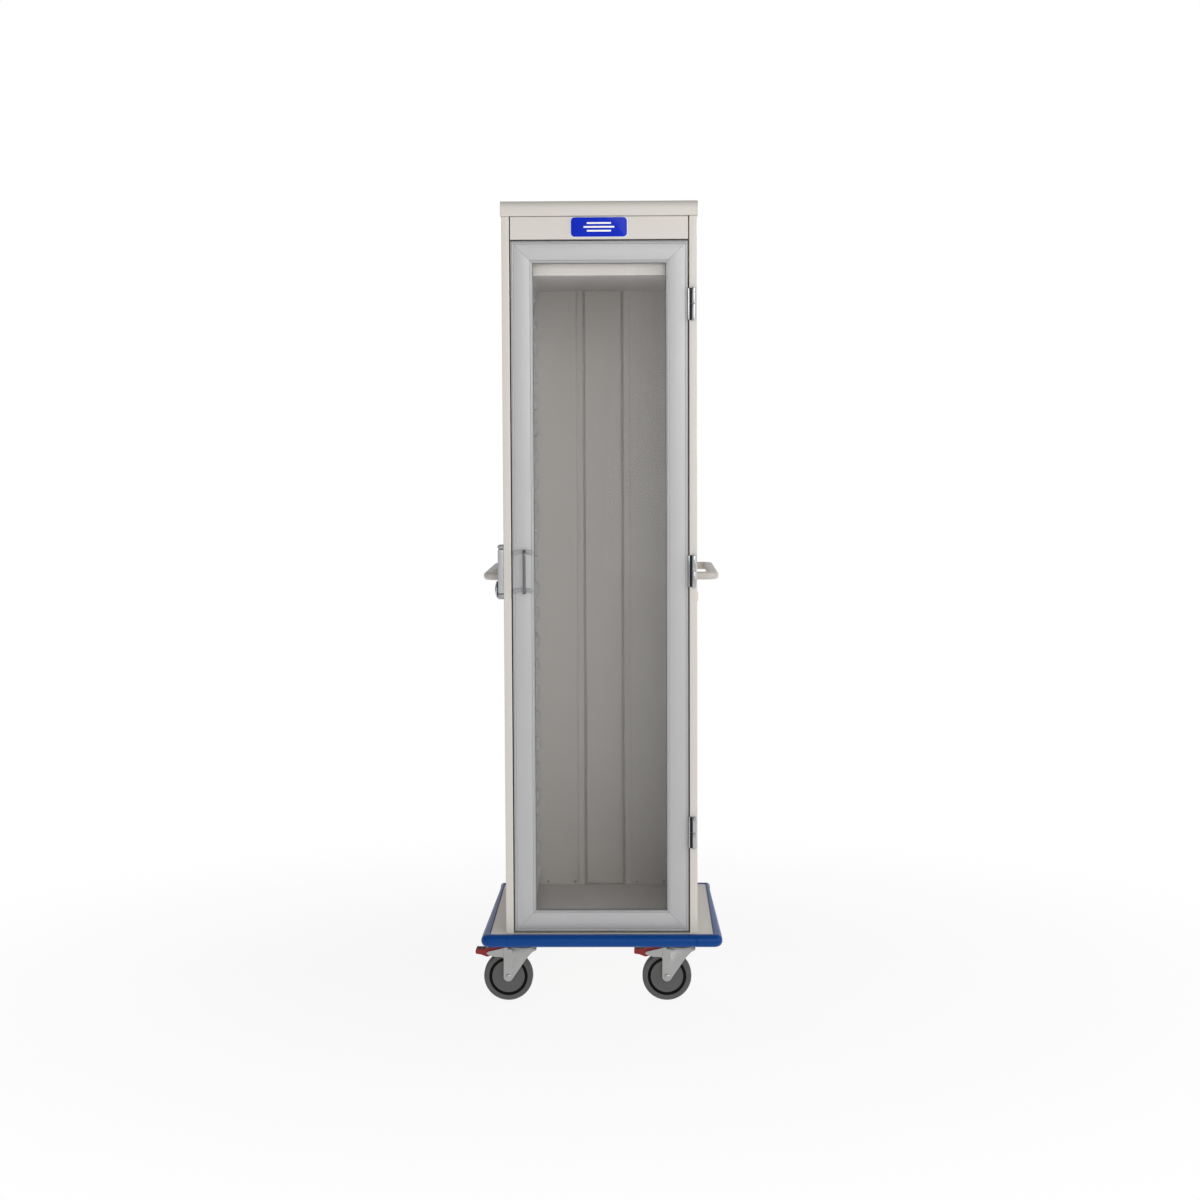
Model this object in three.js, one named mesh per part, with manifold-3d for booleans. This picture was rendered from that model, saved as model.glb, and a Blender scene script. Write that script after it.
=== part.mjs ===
// Mobile tray cabinet: a tall single-column steel cabinet with a glazed aluminium door, tray runners
// inside, and a bumpered base on four swivel castors, the front two braked.
// Millimetres, +Z up, the door faces -Y. Cabinet coordinates have X = 0 on the middle plane, Y = 0 on
// the front face of the door and Z = 0 on the floor; the exported group moves them so that the
// origin is at the middle of the whole object's footprint.

import * as THREE from 'three';
import { mergeVertices } from 'three/addons/utils/BufferGeometryUtils.js';
import Module from 'manifold-3d';

// ---- driving dimensions -------------------------------------------------------------------------

const GAP = 0.3; // clearance between pieces that touch
const BIG = 4000; // longer than the cabinet, for cutters

const SHEET = 2; // folded steel sheet
const BODY_HALF = 242.5; // half the outside width of the cabinet body
const BODY_BACK = 626; // outside face of the back
const PLATE_TOP = 182; // top of the base plate
const BODY_BASE = PLATE_TOP + GAP;
const BODY_TOP = 1982; // where the cap sits
const RETURN_HALF = 223.3; // inner edge of the side panels' front returns
const LIP_DEPTH = 28; // the returns' second fold, back into the cabinet

const CAP = { half: 245, front: -8, back: 634, top: 2020, wall: 3, round: 9 };
const FASCIA = { half: 219, bottom: 1925, depth: 22 };
const BADGE = { half: 69.5, bottom: 1931, top: 1979, round: 9, thick: 2.2 };
const CEILING = { z: 1838, front: 34 };
const FLOOR_TOP = 186;
const BACK_WALL = 611; // inside face of the back
const CHANNEL = { half: 55.5, depth: 12, crease: 74.5, step: 1.6 };
const COVER = { half: 50, notchInner: 15, notchOuter: 50, notchHeight: 4 };

const DOOR = { half: 220.4, bottom: 185.5, top: 1921.5, member: 54.4, thick: 28, bulge: 2.6, wall: 3 };
const REBATE = { front: 9, back: 17, deep: 9 }; // slot in the door members for the glass
const GLASS = { front: 12.6, back: 16.6, bite: 8 };
const SEAL = { front: 9.3, back: 12.3, bite: 7, show: 1.5 };
const MITRE_GAP = 0.25;

const PULL = { x: -190, z: 1100, height: 111, width: 7.3, reach: 26, thick: 7, footWide: 47, footHigh: 10 };
const PULL_ARCH = 5; // rise of the arched feet

const HINGE = { x: 234.5, y: -8, radius: 5, high: 80, leaf: 2.2, heights: [439.7, 1100.3, 1764.4] };
const HINGE_NAMES = ['bottom', 'middle', 'top'];

const LOCK = { out: 257.3, front: 2, back: 52, bottom: 1030.5, top: 1166.5, wall: 2.5, round: 4 };
const KNOB = { y: 27, z: 1054, radius: 21.8, thick: 8.7, spindle: 5.2 };
const BOLT = { y: 14, z: 1110, wide: 10, high: 16, tip: 225.4, tail: 252 };

const RUNNER = { count: 23, tip: 180, root: 203, wall: 2.4, high: 42, slope: 11, front: 40, back: 605 };

const PUSH = { out: 300, near: 100, far: 560, z: 1083, wide: 24, high: 20, round: 8, bend: 26 };

const PLATE = { half: 283, front: -19, back: 634, thick: 3, skirt: 26 };
const BUMPER = { deep: 23.5, top: 184, bottom: 151.8, corner: 67.5, fullness: 0.7 };
const CHANNEL_FEET = { wide: 96, wall: 3, bottom: 155.4 };

const CASTOR = { x: 202.5, inset: 71, trail: 37.3, headRadius: 36, head: 141, plateX: 52, plateY: 42 };
const CASTOR_PLATE = { bottom: 151.4, top: 155 };
const WHEEL = { radius: 62.5, half: 16, grooveOut: 48.4, grooveIn: 42.5, grooveDeep: 3, bore: 6.4 };
const FORK = { half: 21, sheet: 3, bridge: 134, top: 138, left: 11.3, round: 12 };
const AXLE = { radius: 5.6, half: 24.5, head: 8, headThick: 3 };
const PEDAL = { pivotX: -22, pivotZ: 130, reach: 121, half: 15.5, bore: 3.2, pin: 2.6 };

// ---- materials ----------------------------------------------------------------------------------

const finish = (color, roughness, metalness, extra = {}) => ({ color, roughness, metalness, ...extra });
const FINISHES = {
  paint: finish(0xd3cec8, 0.45, 0.0),
  innerPaint: finish(0xb4b0a8, 0.5, 0.0),
  aluminium: finish(0xc4c4c4, 0.35, 0.8),
  clearGlass: finish(0xe4eeee, 0.05, 0.0, { transparent: true, opacity: 0.25 }),
  seal: finish(0x6e6e6c, 0.7, 0.0),
  runnerPlastic: finish(0x9b9c9e, 0.5, 0.0),
  bumperBlue: finish(0x0b4c90, 0.4, 0.0),
  badgeBlue: finish(0x0a36b4, 0.15, 0.0),
  chrome: finish(0xb9bbbd, 0.15, 1.0),
  lockSilver: finish(0xb2b3b4, 0.35, 0.6),
  zinc: finish(0xa3a4a4, 0.4, 0.8),
  tyre: finish(0x4d4d4d, 0.6, 0.0),
  pedalRed: finish(0x8a0f10, 0.4, 0.0),
  handlePaint: finish(0xbab7af, 0.4, 0.0),
};

// ---- solids by union and difference ----------------------------------------------------------------

const wasm = await Module();
wasm.setup();

function merged(geometry) {
  const bare = geometry.clone();
  bare.deleteAttribute('normal');
  bare.deleteAttribute('uv');
  return mergeVertices(bare, 1e-4);
}

function toSolid(geometry) {
  const bare = merged(geometry);
  const vertProperties = new Float32Array(bare.attributes.position.array);
  const triVerts = new Uint32Array(bare.index.array);
  return new wasm.Manifold(new wasm.Mesh({ numProp: 3, vertProperties, triVerts }));
}

function toGeometry(solid) {
  const mesh = solid.getMesh();
  const geometry = new THREE.BufferGeometry();
  geometry.setAttribute('position', new THREE.BufferAttribute(new Float32Array(mesh.vertProperties), 3));
  geometry.setIndex(new THREE.BufferAttribute(new Uint32Array(mesh.triVerts), 1));
  return geometry;
}

function cut(geometry, ...tools) {
  return toGeometry(tools.reduce((solid, tool) => solid.subtract(toSolid(tool)), toSolid(geometry)));
}

function join(geometry, ...others) {
  return toGeometry(others.reduce((solid, other) => solid.add(toSolid(other)), toSolid(geometry)));
}

// ---- plain shapes ---------------------------------------------------------------------------------

function block(x0, x1, y0, y1, z0, z1) {
  const box = new THREE.BoxGeometry(x1 - x0, y1 - y0, z1 - z0);
  return box.translate((x0 + x1) / 2, (y0 + y1) / 2, (z0 + z1) / 2);
}

function outline(points) {
  return new THREE.Shape(points.map(([a, b]) => new THREE.Vector2(a, b)));
}

// A rectangle with round corners, as a shape in its own plane.
function roundedRectangle(a0, a1, b0, b1, radius) {
  const shape = new THREE.Shape();
  shape.absarc(a1 - radius, b0 + radius, radius, -Math.PI / 2, 0);
  shape.absarc(a1 - radius, b1 - radius, radius, 0, Math.PI / 2);
  shape.absarc(a0 + radius, b1 - radius, radius, Math.PI / 2, Math.PI);
  shape.absarc(a0 + radius, b0 + radius, radius, Math.PI, 1.5 * Math.PI);
  shape.closePath();
  return shape;
}

function extruded(shape, depth, curveSegments = 4) {
  return new THREE.ExtrudeGeometry(shape, { depth, bevelEnabled: false, curveSegments });
}

// A (y, z) outline carried from x0 to x1.
function alongX(shape, x0, x1, curveSegments) {
  const turn = new THREE.Matrix4().set(0, 0, 1, x0, 1, 0, 0, 0, 0, 1, 0, 0, 0, 0, 0, 1);
  return extruded(shape, x1 - x0, curveSegments).applyMatrix4(turn);
}

// An (x, z) outline carried from y1 forwards to y0.
function alongY(shape, y0, y1, curveSegments) {
  const turn = new THREE.Matrix4().set(1, 0, 0, 0, 0, 0, -1, y1, 0, 1, 0, 0, 0, 0, 0, 1);
  return extruded(shape, y1 - y0, curveSegments).applyMatrix4(turn);
}

// An (x, y) outline carried from z0 to z1.
function alongZ(shape, z0, z1, curveSegments) {
  return extruded(shape, z1 - z0, curveSegments).translate(0, 0, z0);
}

// A round bar with its middle at (x, y, z), along the named axis.
function bar(axis, radius, length, [x, y, z], sides = 16) {
  const round = new THREE.CylinderGeometry(radius, radius, length, sides);
  if (axis === 'x') round.rotateZ(-Math.PI / 2);
  if (axis === 'z') round.rotateX(Math.PI / 2);
  return round.translate(x, y, z);
}

// A closed (radius, height) profile turned about Z, then laid along the named axis.
function turned(profile, axis, [x, y, z], sides = 28) {
  const closed = [...profile, profile[0]].map(([r, h]) => new THREE.Vector2(r, h));
  const ring = new THREE.LatheGeometry(closed, sides);
  if (axis === 'x') ring.rotateZ(-Math.PI / 2);
  if (axis === 'z') ring.rotateX(Math.PI / 2);
  return ring.translate(x, y, z);
}

// A folded sheet: the open line of (a, b) points, thickened to its left by the given amount.
function folded(points, thick) {
  const line = points.map(([a, b]) => new THREE.Vector2(a, b));
  const offset = line.map((point, i) => {
    const before = line[Math.max(i - 1, 0)];
    const after = line[Math.min(i + 1, line.length - 1)];
    const entering = i > 0 ? point.clone().sub(before).normalize() : null;
    const leaving = i < line.length - 1 ? after.clone().sub(point).normalize() : null;
    const first = entering ?? leaving;
    const second = leaving ?? entering;
    const leftOf = (d) => new THREE.Vector2(-d.y, d.x);
    const middle = leftOf(first).add(leftOf(second)).normalize();
    return point.clone().addScaledVector(middle, thick / middle.dot(leftOf(first)));
  });
  return new THREE.Shape([...line, ...offset.reverse()]);
}

const cabinet = new THREE.Group();

function add(name, geometry, finishName, parent = cabinet) {
  const mesh = new THREE.Mesh(merged(geometry), new THREE.MeshStandardMaterial(FINISHES[finishName]));
  mesh.name = name;
  parent.add(mesh);
  return mesh;
}

// ---- body -------------------------------------------------------------------------------------------

function sidePanel(side) {
  const outside = side * BODY_HALF;
  const inside = side * RETURN_HALF;
  const line = [
    [inside, LIP_DEPTH],
    [inside, 0],
    [outside, 0],
    [outside, BODY_BACK],
    [inside, BODY_BACK],
  ];
  if (side < 0) line.reverse();
  return alongZ(folded(line, SHEET), BODY_BASE, BODY_TOP - GAP);
}

function boltHole(x0, x1) {
  const slack = 1;
  return block(x0, x1, BOLT.y - BOLT.wide / 2 - slack, BOLT.y + BOLT.wide / 2 + slack,
    BOLT.z - BOLT.high / 2 - slack, BOLT.z + BOLT.high / 2 + slack);
}

function spindleHole(x0, x1) {
  return bar('x', KNOB.spindle + 1.5, x1 - x0, [(x0 + x1) / 2, KNOB.y, KNOB.z]);
}

function topCap() {
  const outer = new THREE.Shape();
  outer.moveTo(CAP.back, BODY_TOP);
  outer.lineTo(CAP.back, CAP.top - CAP.round);
  outer.absarc(CAP.back - CAP.round, CAP.top - CAP.round, CAP.round, 0, Math.PI / 2);
  outer.absarc(CAP.front + CAP.round, CAP.top - CAP.round, CAP.round, Math.PI / 2, Math.PI);
  outer.lineTo(CAP.front, BODY_TOP);
  outer.closePath();
  const lid = alongX(outer, -CAP.half, CAP.half);
  const hollow = block(-CAP.half + CAP.wall, CAP.half - CAP.wall, CAP.front + CAP.wall, CAP.back - CAP.wall,
    BODY_TOP - 1, CAP.top - CAP.wall);
  const ledge = block(-CAP.half + CAP.wall, CAP.half - CAP.wall, -2, BODY_BACK, BODY_TOP, BODY_TOP + CAP.wall);
  const well = block(-RETURN_HALF, RETURN_HALF, 30, BODY_BACK - 30, BODY_TOP - 1, BODY_TOP + CAP.wall + 1);
  return join(cut(lid, hollow), cut(ledge, well));
}

function headerFascia() {
  const line = [
    [FASCIA.depth, FASCIA.bottom],
    [0, FASCIA.bottom],
    [0, BODY_TOP - GAP],
    [FASCIA.depth, BODY_TOP - GAP],
  ];
  return alongX(folded(line.reverse(), SHEET), -FASCIA.half, FASCIA.half);
}

function nameBadge() {
  const face = roundedRectangle(-BADGE.half, BADGE.half, BADGE.bottom, BADGE.top, BADGE.round);
  return alongY(face, -GAP - BADGE.thick, -GAP);
}

function ceilingPanel() {
  const half = BODY_HALF - SHEET - GAP;
  const rear = BACK_WALL - CHANNEL.step - GAP;
  const line = [
    [CEILING.front, BODY_TOP - GAP],
    [CEILING.front, CEILING.z],
    [rear, CEILING.z],
    [rear, CEILING.z + 40],
  ];
  return alongX(folded(line, SHEET), -half, half);
}

function backPanel() {
  const right = [
    [CHANNEL.half, BACK_WALL + CHANNEL.depth],
    [CHANNEL.half, BACK_WALL - CHANNEL.step],
    [CHANNEL.crease - CHANNEL.step, BACK_WALL - CHANNEL.step],
    [CHANNEL.crease, BACK_WALL],
    [BODY_HALF - SHEET - GAP, BACK_WALL],
  ];
  const left = right.map(([x, y]) => [-x, y]).reverse();
  return alongZ(folded([...left, ...right], SHEET), BODY_BASE, BODY_TOP - GAP);
}

function coverPlate() {
  const line = [
    [-COVER.half, BACK_WALL + CHANNEL.depth - SHEET - GAP],
    [-COVER.half, BACK_WALL],
    [COVER.half, BACK_WALL],
    [COVER.half, BACK_WALL + CHANNEL.depth - SHEET - GAP],
  ];
  const cover = alongZ(folded(line, SHEET), FLOOR_TOP + GAP, CEILING.z - GAP);
  const notch = (x0, x1) => block(x0, x1, BACK_WALL - 1, BACK_WALL + SHEET + 1,
    FLOOR_TOP - 1, FLOOR_TOP + COVER.notchHeight);
  const edge = COVER.notchOuter - 1;
  return cut(cover, notch(-edge, -COVER.notchInner), notch(COVER.notchInner, edge));
}

function floorPanel() {
  const half = BODY_HALF - SHEET - GAP;
  return block(-half, half, CEILING.front, BACK_WALL - CHANNEL.step - GAP, BODY_BASE, FLOOR_TOP);
}

// ---- tray runners ------------------------------------------------------------------------------------

// One moulded wall: a sheet folded in and out, so that each band is a flat-topped ledge with a
// sloping underside, and each space between two bands takes the rim of one tray.
function trayRunner(side) {
  const bottom = FLOOR_TOP + GAP;
  const top = CEILING.z - GAP;
  const pitch = (top - bottom - RUNNER.high) / (RUNNER.count - 1);
  const line = [];
  for (let i = 0; i < RUNNER.count; i += 1) {
    const foot = bottom + i * pitch;
    const head = foot + RUNNER.high;
    if (i > 0) line.push([RUNNER.root, foot - 1]);
    line.push([RUNNER.tip, foot + RUNNER.slope]);
    line.push([RUNNER.tip, head]);
    if (i < RUNNER.count - 1) line.push([RUNNER.root, head]);
  }
  const placed = line.map(([x, z]) => [side * x, z]);
  if (side > 0) placed.reverse();
  return alongY(folded(placed, RUNNER.wall), RUNNER.front, RUNNER.back);
}

// ---- door ------------------------------------------------------------------------------------------------

// Section of a door member: u runs from the outer edge of the door inwards, v from front to back.
function memberSection() {
  const { member, thick, bulge, wall } = DOOR;
  const steps = 6;
  const crown = Array.from({ length: steps + 1 }, (_, i) => {
    const u = (member * i) / steps;
    return [u, bulge * ((2 * u) / member - 1) ** 2];
  });
  const inner = member - REBATE.deep;
  const section = outline([
    ...crown,
    [member, REBATE.front],
    [inner, REBATE.front],
    [inner, REBATE.back],
    [member, REBATE.back],
    [member, thick],
    [0, thick],
  ]);
  const hollow = [
    [wall, wall + bulge],
    [wall, thick - wall],
    [inner - wall, thick - wall],
    [inner - wall, wall + bulge],
  ];
  section.holes.push(new THREE.Path(hollow.map(([u, v]) => new THREE.Vector2(u, v))));
  return section;
}

// A member of the given outside length, mitred at both ends: its ends follow u at 45 degrees.
function mitredMember(length, place) {
  const member = extruded(memberSection(), 1);
  const position = member.attributes.position;
  const point = new THREE.Vector3();
  for (let i = 0; i < position.count; i += 1) {
    point.fromBufferAttribute(position, i);
    const start = point.x + MITRE_GAP;
    const along = point.z > 0.5 ? length - start : start;
    position.setXYZ(i, ...place(point.x, point.y, along));
  }
  return member;
}

const DOOR_WIDE = 2 * DOOR.half;
const DOOR_HIGH = DOOR.top - DOOR.bottom;
const MEMBER_PLACES = {
  bottom: [DOOR_WIDE, (u, v, along) => [DOOR.half - along, v, DOOR.bottom + u]],
  top: [DOOR_WIDE, (u, v, along) => [-DOOR.half + along, v, DOOR.top - u]],
  left: [DOOR_HIGH, (u, v, along) => [-DOOR.half + u, v, DOOR.bottom + along]],
  right: [DOOR_HIGH, (u, v, along) => [DOOR.half - u, v, DOOR.top - along]],
};
const OPENING = {
  half: DOOR.half - DOOR.member,
  bottom: DOOR.bottom + DOOR.member,
  top: DOOR.top - DOOR.member,
};

function doorGlass() {
  const half = OPENING.half + GLASS.bite;
  return block(-half, half, GLASS.front, GLASS.back, OPENING.bottom - GLASS.bite, OPENING.top + GLASS.bite);
}

function glazingSeal() {
  const frame = (grow) => [
    [-OPENING.half - grow, OPENING.bottom - grow],
    [OPENING.half + grow, OPENING.bottom - grow],
    [OPENING.half + grow, OPENING.top + grow],
    [-OPENING.half - grow, OPENING.top + grow],
  ];
  const ring = outline(frame(SEAL.bite));
  ring.holes.push(new THREE.Path(frame(-SEAL.show).reverse().map(([x, z]) => new THREE.Vector2(x, z))));
  return alongY(ring, SEAL.front, SEAL.back);
}

// An upright grip on two arched feet that lie on the crown of the door's left member.
function doorPull() {
  const half = PULL.height / 2;
  const front = -PULL.reach;
  const seat = -GAP;
  const line = [
    [seat, PULL.z - half],
    [front, PULL.z - half],
    [front, PULL.z + half],
    [seat, PULL.z + half],
  ];
  const bow = outline([...line, ...[
    [seat, PULL.z + half - PULL.thick],
    [front + PULL.thick, PULL.z + half - PULL.thick],
    [front + PULL.thick, PULL.z - half + PULL.thick],
    [seat, PULL.z - half + PULL.thick],
  ]].reverse());
  const grip = alongX(bow, PULL.x - PULL.width / 2, PULL.x + PULL.width / 2);
  const middle = -DOOR.half + DOOR.member / 2;
  const foot = (base) => {
    const steps = 6;
    const arc = Array.from({ length: steps + 1 }, (_, i) => {
      const t = (2 * i) / steps - 1;
      return [middle + (t * PULL.footWide) / 2, base + PULL_ARCH * (1 - t * t)];
    });
    const band = outline([...arc, ...arc.map(([x, z]) => [x, z + PULL.footHigh]).reverse()]);
    return alongY(band, -3, seat);
  };
  return join(grip, foot(PULL.z + half - PULL.footHigh - PULL_ARCH), foot(PULL.z - half));
}

// ---- hinges ---------------------------------------------------------------------------------------------

// Lift-off barrel hinge: the frame leaf carries the lower knuckle and the pin, the door leaf the upper.
function frameLeaf(z) {
  const half = HINGE.high / 2;
  const plate = block(HINGE.x - 5, HINGE.x + 5.5, -GAP - HINGE.leaf, -GAP, z - half, z + half);
  const web = block(HINGE.x - 3, HINGE.x + 3, HINGE.y, -GAP - HINGE.leaf + 0.5, z - half, z - GAP);
  const knuckle = bar('z', HINGE.radius, half - GAP, [HINGE.x, HINGE.y, z - half / 2 - GAP / 2]);
  const pin = bar('z', HINGE.radius / 2, HINGE.high - 8, [HINGE.x, HINGE.y, z - 1], 12);
  return join(knuckle, plate, web, pin);
}

function doorLeaf(z) {
  const half = HINGE.high / 2;
  const inside = DOOR.half + GAP;
  const plate = block(inside, inside + HINGE.leaf, HINGE.y + 1, DOOR.thick - 4, z - half, z + half);
  const web = block(inside + 0.5, HINGE.x - 2, HINGE.y + 1, HINGE.y + 3.5, z + GAP, z + half);
  const knuckle = bar('z', HINGE.radius, half - GAP, [HINGE.x, HINGE.y, z + half / 2 + GAP / 2]);
  const bore = bar('z', HINGE.radius / 2 + GAP, HINGE.high - 6, [HINGE.x, HINGE.y, z - 1.5], 12);
  return cut(join(plate, web, knuckle), bore);
}

// ---- lock ---------------------------------------------------------------------------------------------------

function lockHousing() {
  const inside = -BODY_HALF - GAP;
  const shell = alongX(
    roundedRectangle(LOCK.front, LOCK.back, LOCK.bottom, LOCK.top, LOCK.round), -LOCK.out, inside);
  const hollow = block(-LOCK.out + LOCK.wall, inside + 1, LOCK.front + LOCK.wall, LOCK.back - LOCK.wall,
    LOCK.bottom + LOCK.wall, LOCK.top - LOCK.wall);
  return cut(shell, hollow, spindleHole(-LOCK.out - 1, -LOCK.out + LOCK.wall + 1));
}

function lockKnob() {
  const inner = -LOCK.out - GAP;
  const outer = inner - KNOB.thick;
  const spindleEnd = -BODY_HALF - 3;
  const profile = [
    [0, spindleEnd],
    [0, outer],
    [KNOB.radius - 5, outer],
    [KNOB.radius, inner - 4],
    [KNOB.radius, inner],
    [KNOB.spindle, inner],
    [KNOB.spindle, spindleEnd],
  ];
  return turned(profile, 'x', [0, KNOB.y, KNOB.z], 16);
}

function lockBolt() {
  const low = BOLT.z - BOLT.high / 2;
  const high = BOLT.z + BOLT.high / 2;
  return block(-BOLT.tail, -BOLT.tip, BOLT.y - BOLT.wide / 2, BOLT.y + BOLT.wide / 2, low, high);
}

// ---- push handles --------------------------------------------------------------------------------------------

function pushHandle(side) {
  const seat = BODY_HALF + GAP;
  const middle = PUSH.out - PUSH.wide / 2;
  const near = PUSH.near;
  const far = PUSH.far;
  const bend = PUSH.bend;
  const corner = (x, y, from) => Array.from({ length: 4 }, (_, i) => {
    const angle = from + (Math.PI / 2) * (i / 3);
    return [x + bend * Math.cos(angle), y + bend * Math.sin(angle)];
  });
  const path = [
    [seat, near],
    ...corner(middle - bend, near + bend, -Math.PI / 2),
    ...corner(middle - bend, far - bend, 0),
    [seat, far],
  ];
  const section = roundedRectangle(-PUSH.wide / 2, PUSH.wide / 2, -PUSH.high / 2, PUSH.high / 2, PUSH.round);
  const ring = section.getPoints(2);
  return sweptBar(path, ring.slice(0, -1), side);
}

// A ring of (across, up) points carried along an (x, y) path, with flat ends.
function sweptBar(path, ring, side) {
  const points = path.map(([x, y]) => new THREE.Vector2(x, y));
  const vertices = [];
  points.forEach((point, i) => {
    const entering = points[Math.max(i, 1)].clone().sub(points[Math.max(i, 1) - 1]).normalize();
    const next = Math.min(i, points.length - 2);
    const leaving = points[next + 1].clone().sub(points[next]).normalize();
    const across = new THREE.Vector2(entering.y + leaving.y, -entering.x - leaving.x).normalize();
    const stretch = 1 / across.dot(new THREE.Vector2(entering.y, -entering.x));
    ring.forEach(({ x: out, y: up }) => {
      const place = point.clone().addScaledVector(across, out * stretch);
      vertices.push(side * place.x, place.y, PUSH.z + up);
    });
  });
  const count = ring.length;
  const faces = [];
  const face = (a, b, c) => faces.push(...(side < 0 ? [a, b, c] : [a, c, b]));
  for (let i = 0; i < points.length - 1; i += 1) {
    for (let j = 0; j < count; j += 1) {
      const a = i * count + j;
      const b = i * count + ((j + 1) % count);
      face(a, b, a + count);
      face(b, b + count, a + count);
    }
  }
  const last = (points.length - 1) * count;
  for (let j = 1; j < count - 1; j += 1) {
    face(0, j + 1, j);
    face(last, last + j, last + j + 1);
  }
  const geometry = new THREE.BufferGeometry();
  geometry.setAttribute('position', new THREE.Float32BufferAttribute(vertices, 3));
  geometry.setIndex(faces);
  return geometry;
}

// ---- base --------------------------------------------------------------------------------------------------

const CASTOR_Y = { front: PLATE.front + CASTOR.inset, rear: PLATE.back - CASTOR.inset };

// A pan of folded sheet, open below, with two channels welded across it for the castors.
function basePlate() {
  const { half, front, back, thick, skirt } = PLATE;
  const pan = block(-half, half, front, back, PLATE_TOP - skirt, PLATE_TOP);
  const hollow = block(-half + thick, half - thick, front + thick, back - thick,
    PLATE_TOP - skirt - 1, PLATE_TOP - thick);
  const channels = Object.values(CASTOR_Y).map((y) => {
    const wide = CHANNEL_FEET.wide / 2;
    const box = block(-half + 8, half - 8, y - wide, y + wide, CHANNEL_FEET.bottom, PLATE_TOP - 1);
    const inner = block(-BIG, BIG, y - wide + CHANNEL_FEET.wall, y + wide - CHANNEL_FEET.wall,
      CHANNEL_FEET.bottom + CHANNEL_FEET.wall, PLATE_TOP - thick);
    return cut(box, inner);
  });
  return join(cut(pan, hollow), ...channels);
}

// Bumper section, rounded but fuller than a half circle: u outwards from the plate's edge, w upwards.
function bumperSection() {
  const high = BUMPER.top - BUMPER.bottom;
  const middle = (BUMPER.top + BUMPER.bottom) / 2;
  const steps = 8;
  const points = Array.from({ length: steps + 1 }, (_, i) => {
    const angle = -Math.PI / 2 + (Math.PI * i) / steps;
    const bulge = Math.max(Math.cos(angle), 0) ** BUMPER.fullness;
    return [GAP + (BUMPER.deep - GAP) * bulge, middle + (high / 2) * Math.sin(angle)];
  });
  return points;
}

function bumperRail(edge) {
  const { half, front, back } = PLATE;
  const stop = BUMPER.corner - BUMPER.deep + GAP;
  const rail = {
    front: () => alongX(outline(bumperSection().map(([u, w]) => [front - u, w]).reverse()),
      -half + stop, half - stop),
    rear: () => alongX(outline(bumperSection().map(([u, w]) => [back + u, w])), -half + stop, half - stop),
    left: () => alongY(outline(bumperSection().map(([u, w]) => [-half - u, w])), front + stop, back - stop),
    right: () => alongY(outline(bumperSection().map(([u, w]) => [half + u, w])), front + stop, back - stop),
  };
  return rail[edge]();
}

// A corner moulding: the bumper section turned through a right angle about the plate's corner.
function bumperCorner(sideX, end) {
  const stop = BUMPER.corner - BUMPER.deep;
  const cornerX = sideX * PLATE.half;
  const cornerY = end === 'front' ? PLATE.front : PLATE.back;
  const sideY = end === 'front' ? -1 : 1;
  const section = bumperSection();
  const turns = 5;
  const stations = [[0, -stop, 1, 0]];
  for (let i = 0; i <= turns; i += 1) {
    const angle = (Math.PI / 2) * (i / turns);
    stations.push([0, 0, Math.cos(angle), Math.sin(angle)]);
  }
  stations.push([-stop, 0, 0, 1]);
  const vertices = [];
  stations.forEach(([x, y, ux, uy]) => {
    section.forEach(([u, w]) => {
      vertices.push(cornerX + sideX * (x + u * ux), cornerY + sideY * (y + u * uy), w);
    });
  });
  const count = section.length;
  const faces = [];
  const flipped = sideX * sideY < 0;
  const face = (a, b, c) => faces.push(...(flipped ? [a, c, b] : [a, b, c]));
  for (let i = 0; i < stations.length - 1; i += 1) {
    for (let j = 0; j < count; j += 1) {
      const a = i * count + j;
      const b = i * count + ((j + 1) % count);
      face(a, a + count, b);
      face(b, a + count, b + count);
    }
  }
  const last = (stations.length - 1) * count;
  for (let j = 1; j < count - 1; j += 1) {
    face(0, j, j + 1);
    face(last, last + j + 1, last + j);
  }
  const geometry = new THREE.BufferGeometry();
  geometry.setAttribute('position', new THREE.Float32BufferAttribute(vertices, 3));
  geometry.setIndex(faces);
  return geometry;
}

// ---- castors ------------------------------------------------------------------------------------------------

// Each castor is drawn about its own swivel axis at x = 0, y = 0, trailing towards -X.

function castorMount() {
  const plate = block(-CASTOR.plateX, CASTOR.plateX, -CASTOR.plateY, CASTOR.plateY,
    CASTOR_PLATE.bottom, CASTOR_PLATE.top);
  const race = turned([
    [0, CASTOR.head + GAP],
    [CASTOR.headRadius - 6, CASTOR.head + GAP],
    [CASTOR.headRadius - 1, CASTOR_PLATE.bottom - 4],
    [CASTOR.headRadius - 4, CASTOR_PLATE.bottom + 1],
    [0, CASTOR_PLATE.bottom + 1],
  ], 'z', [0, 0, 0], 24);
  return join(plate, race);
}

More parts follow.
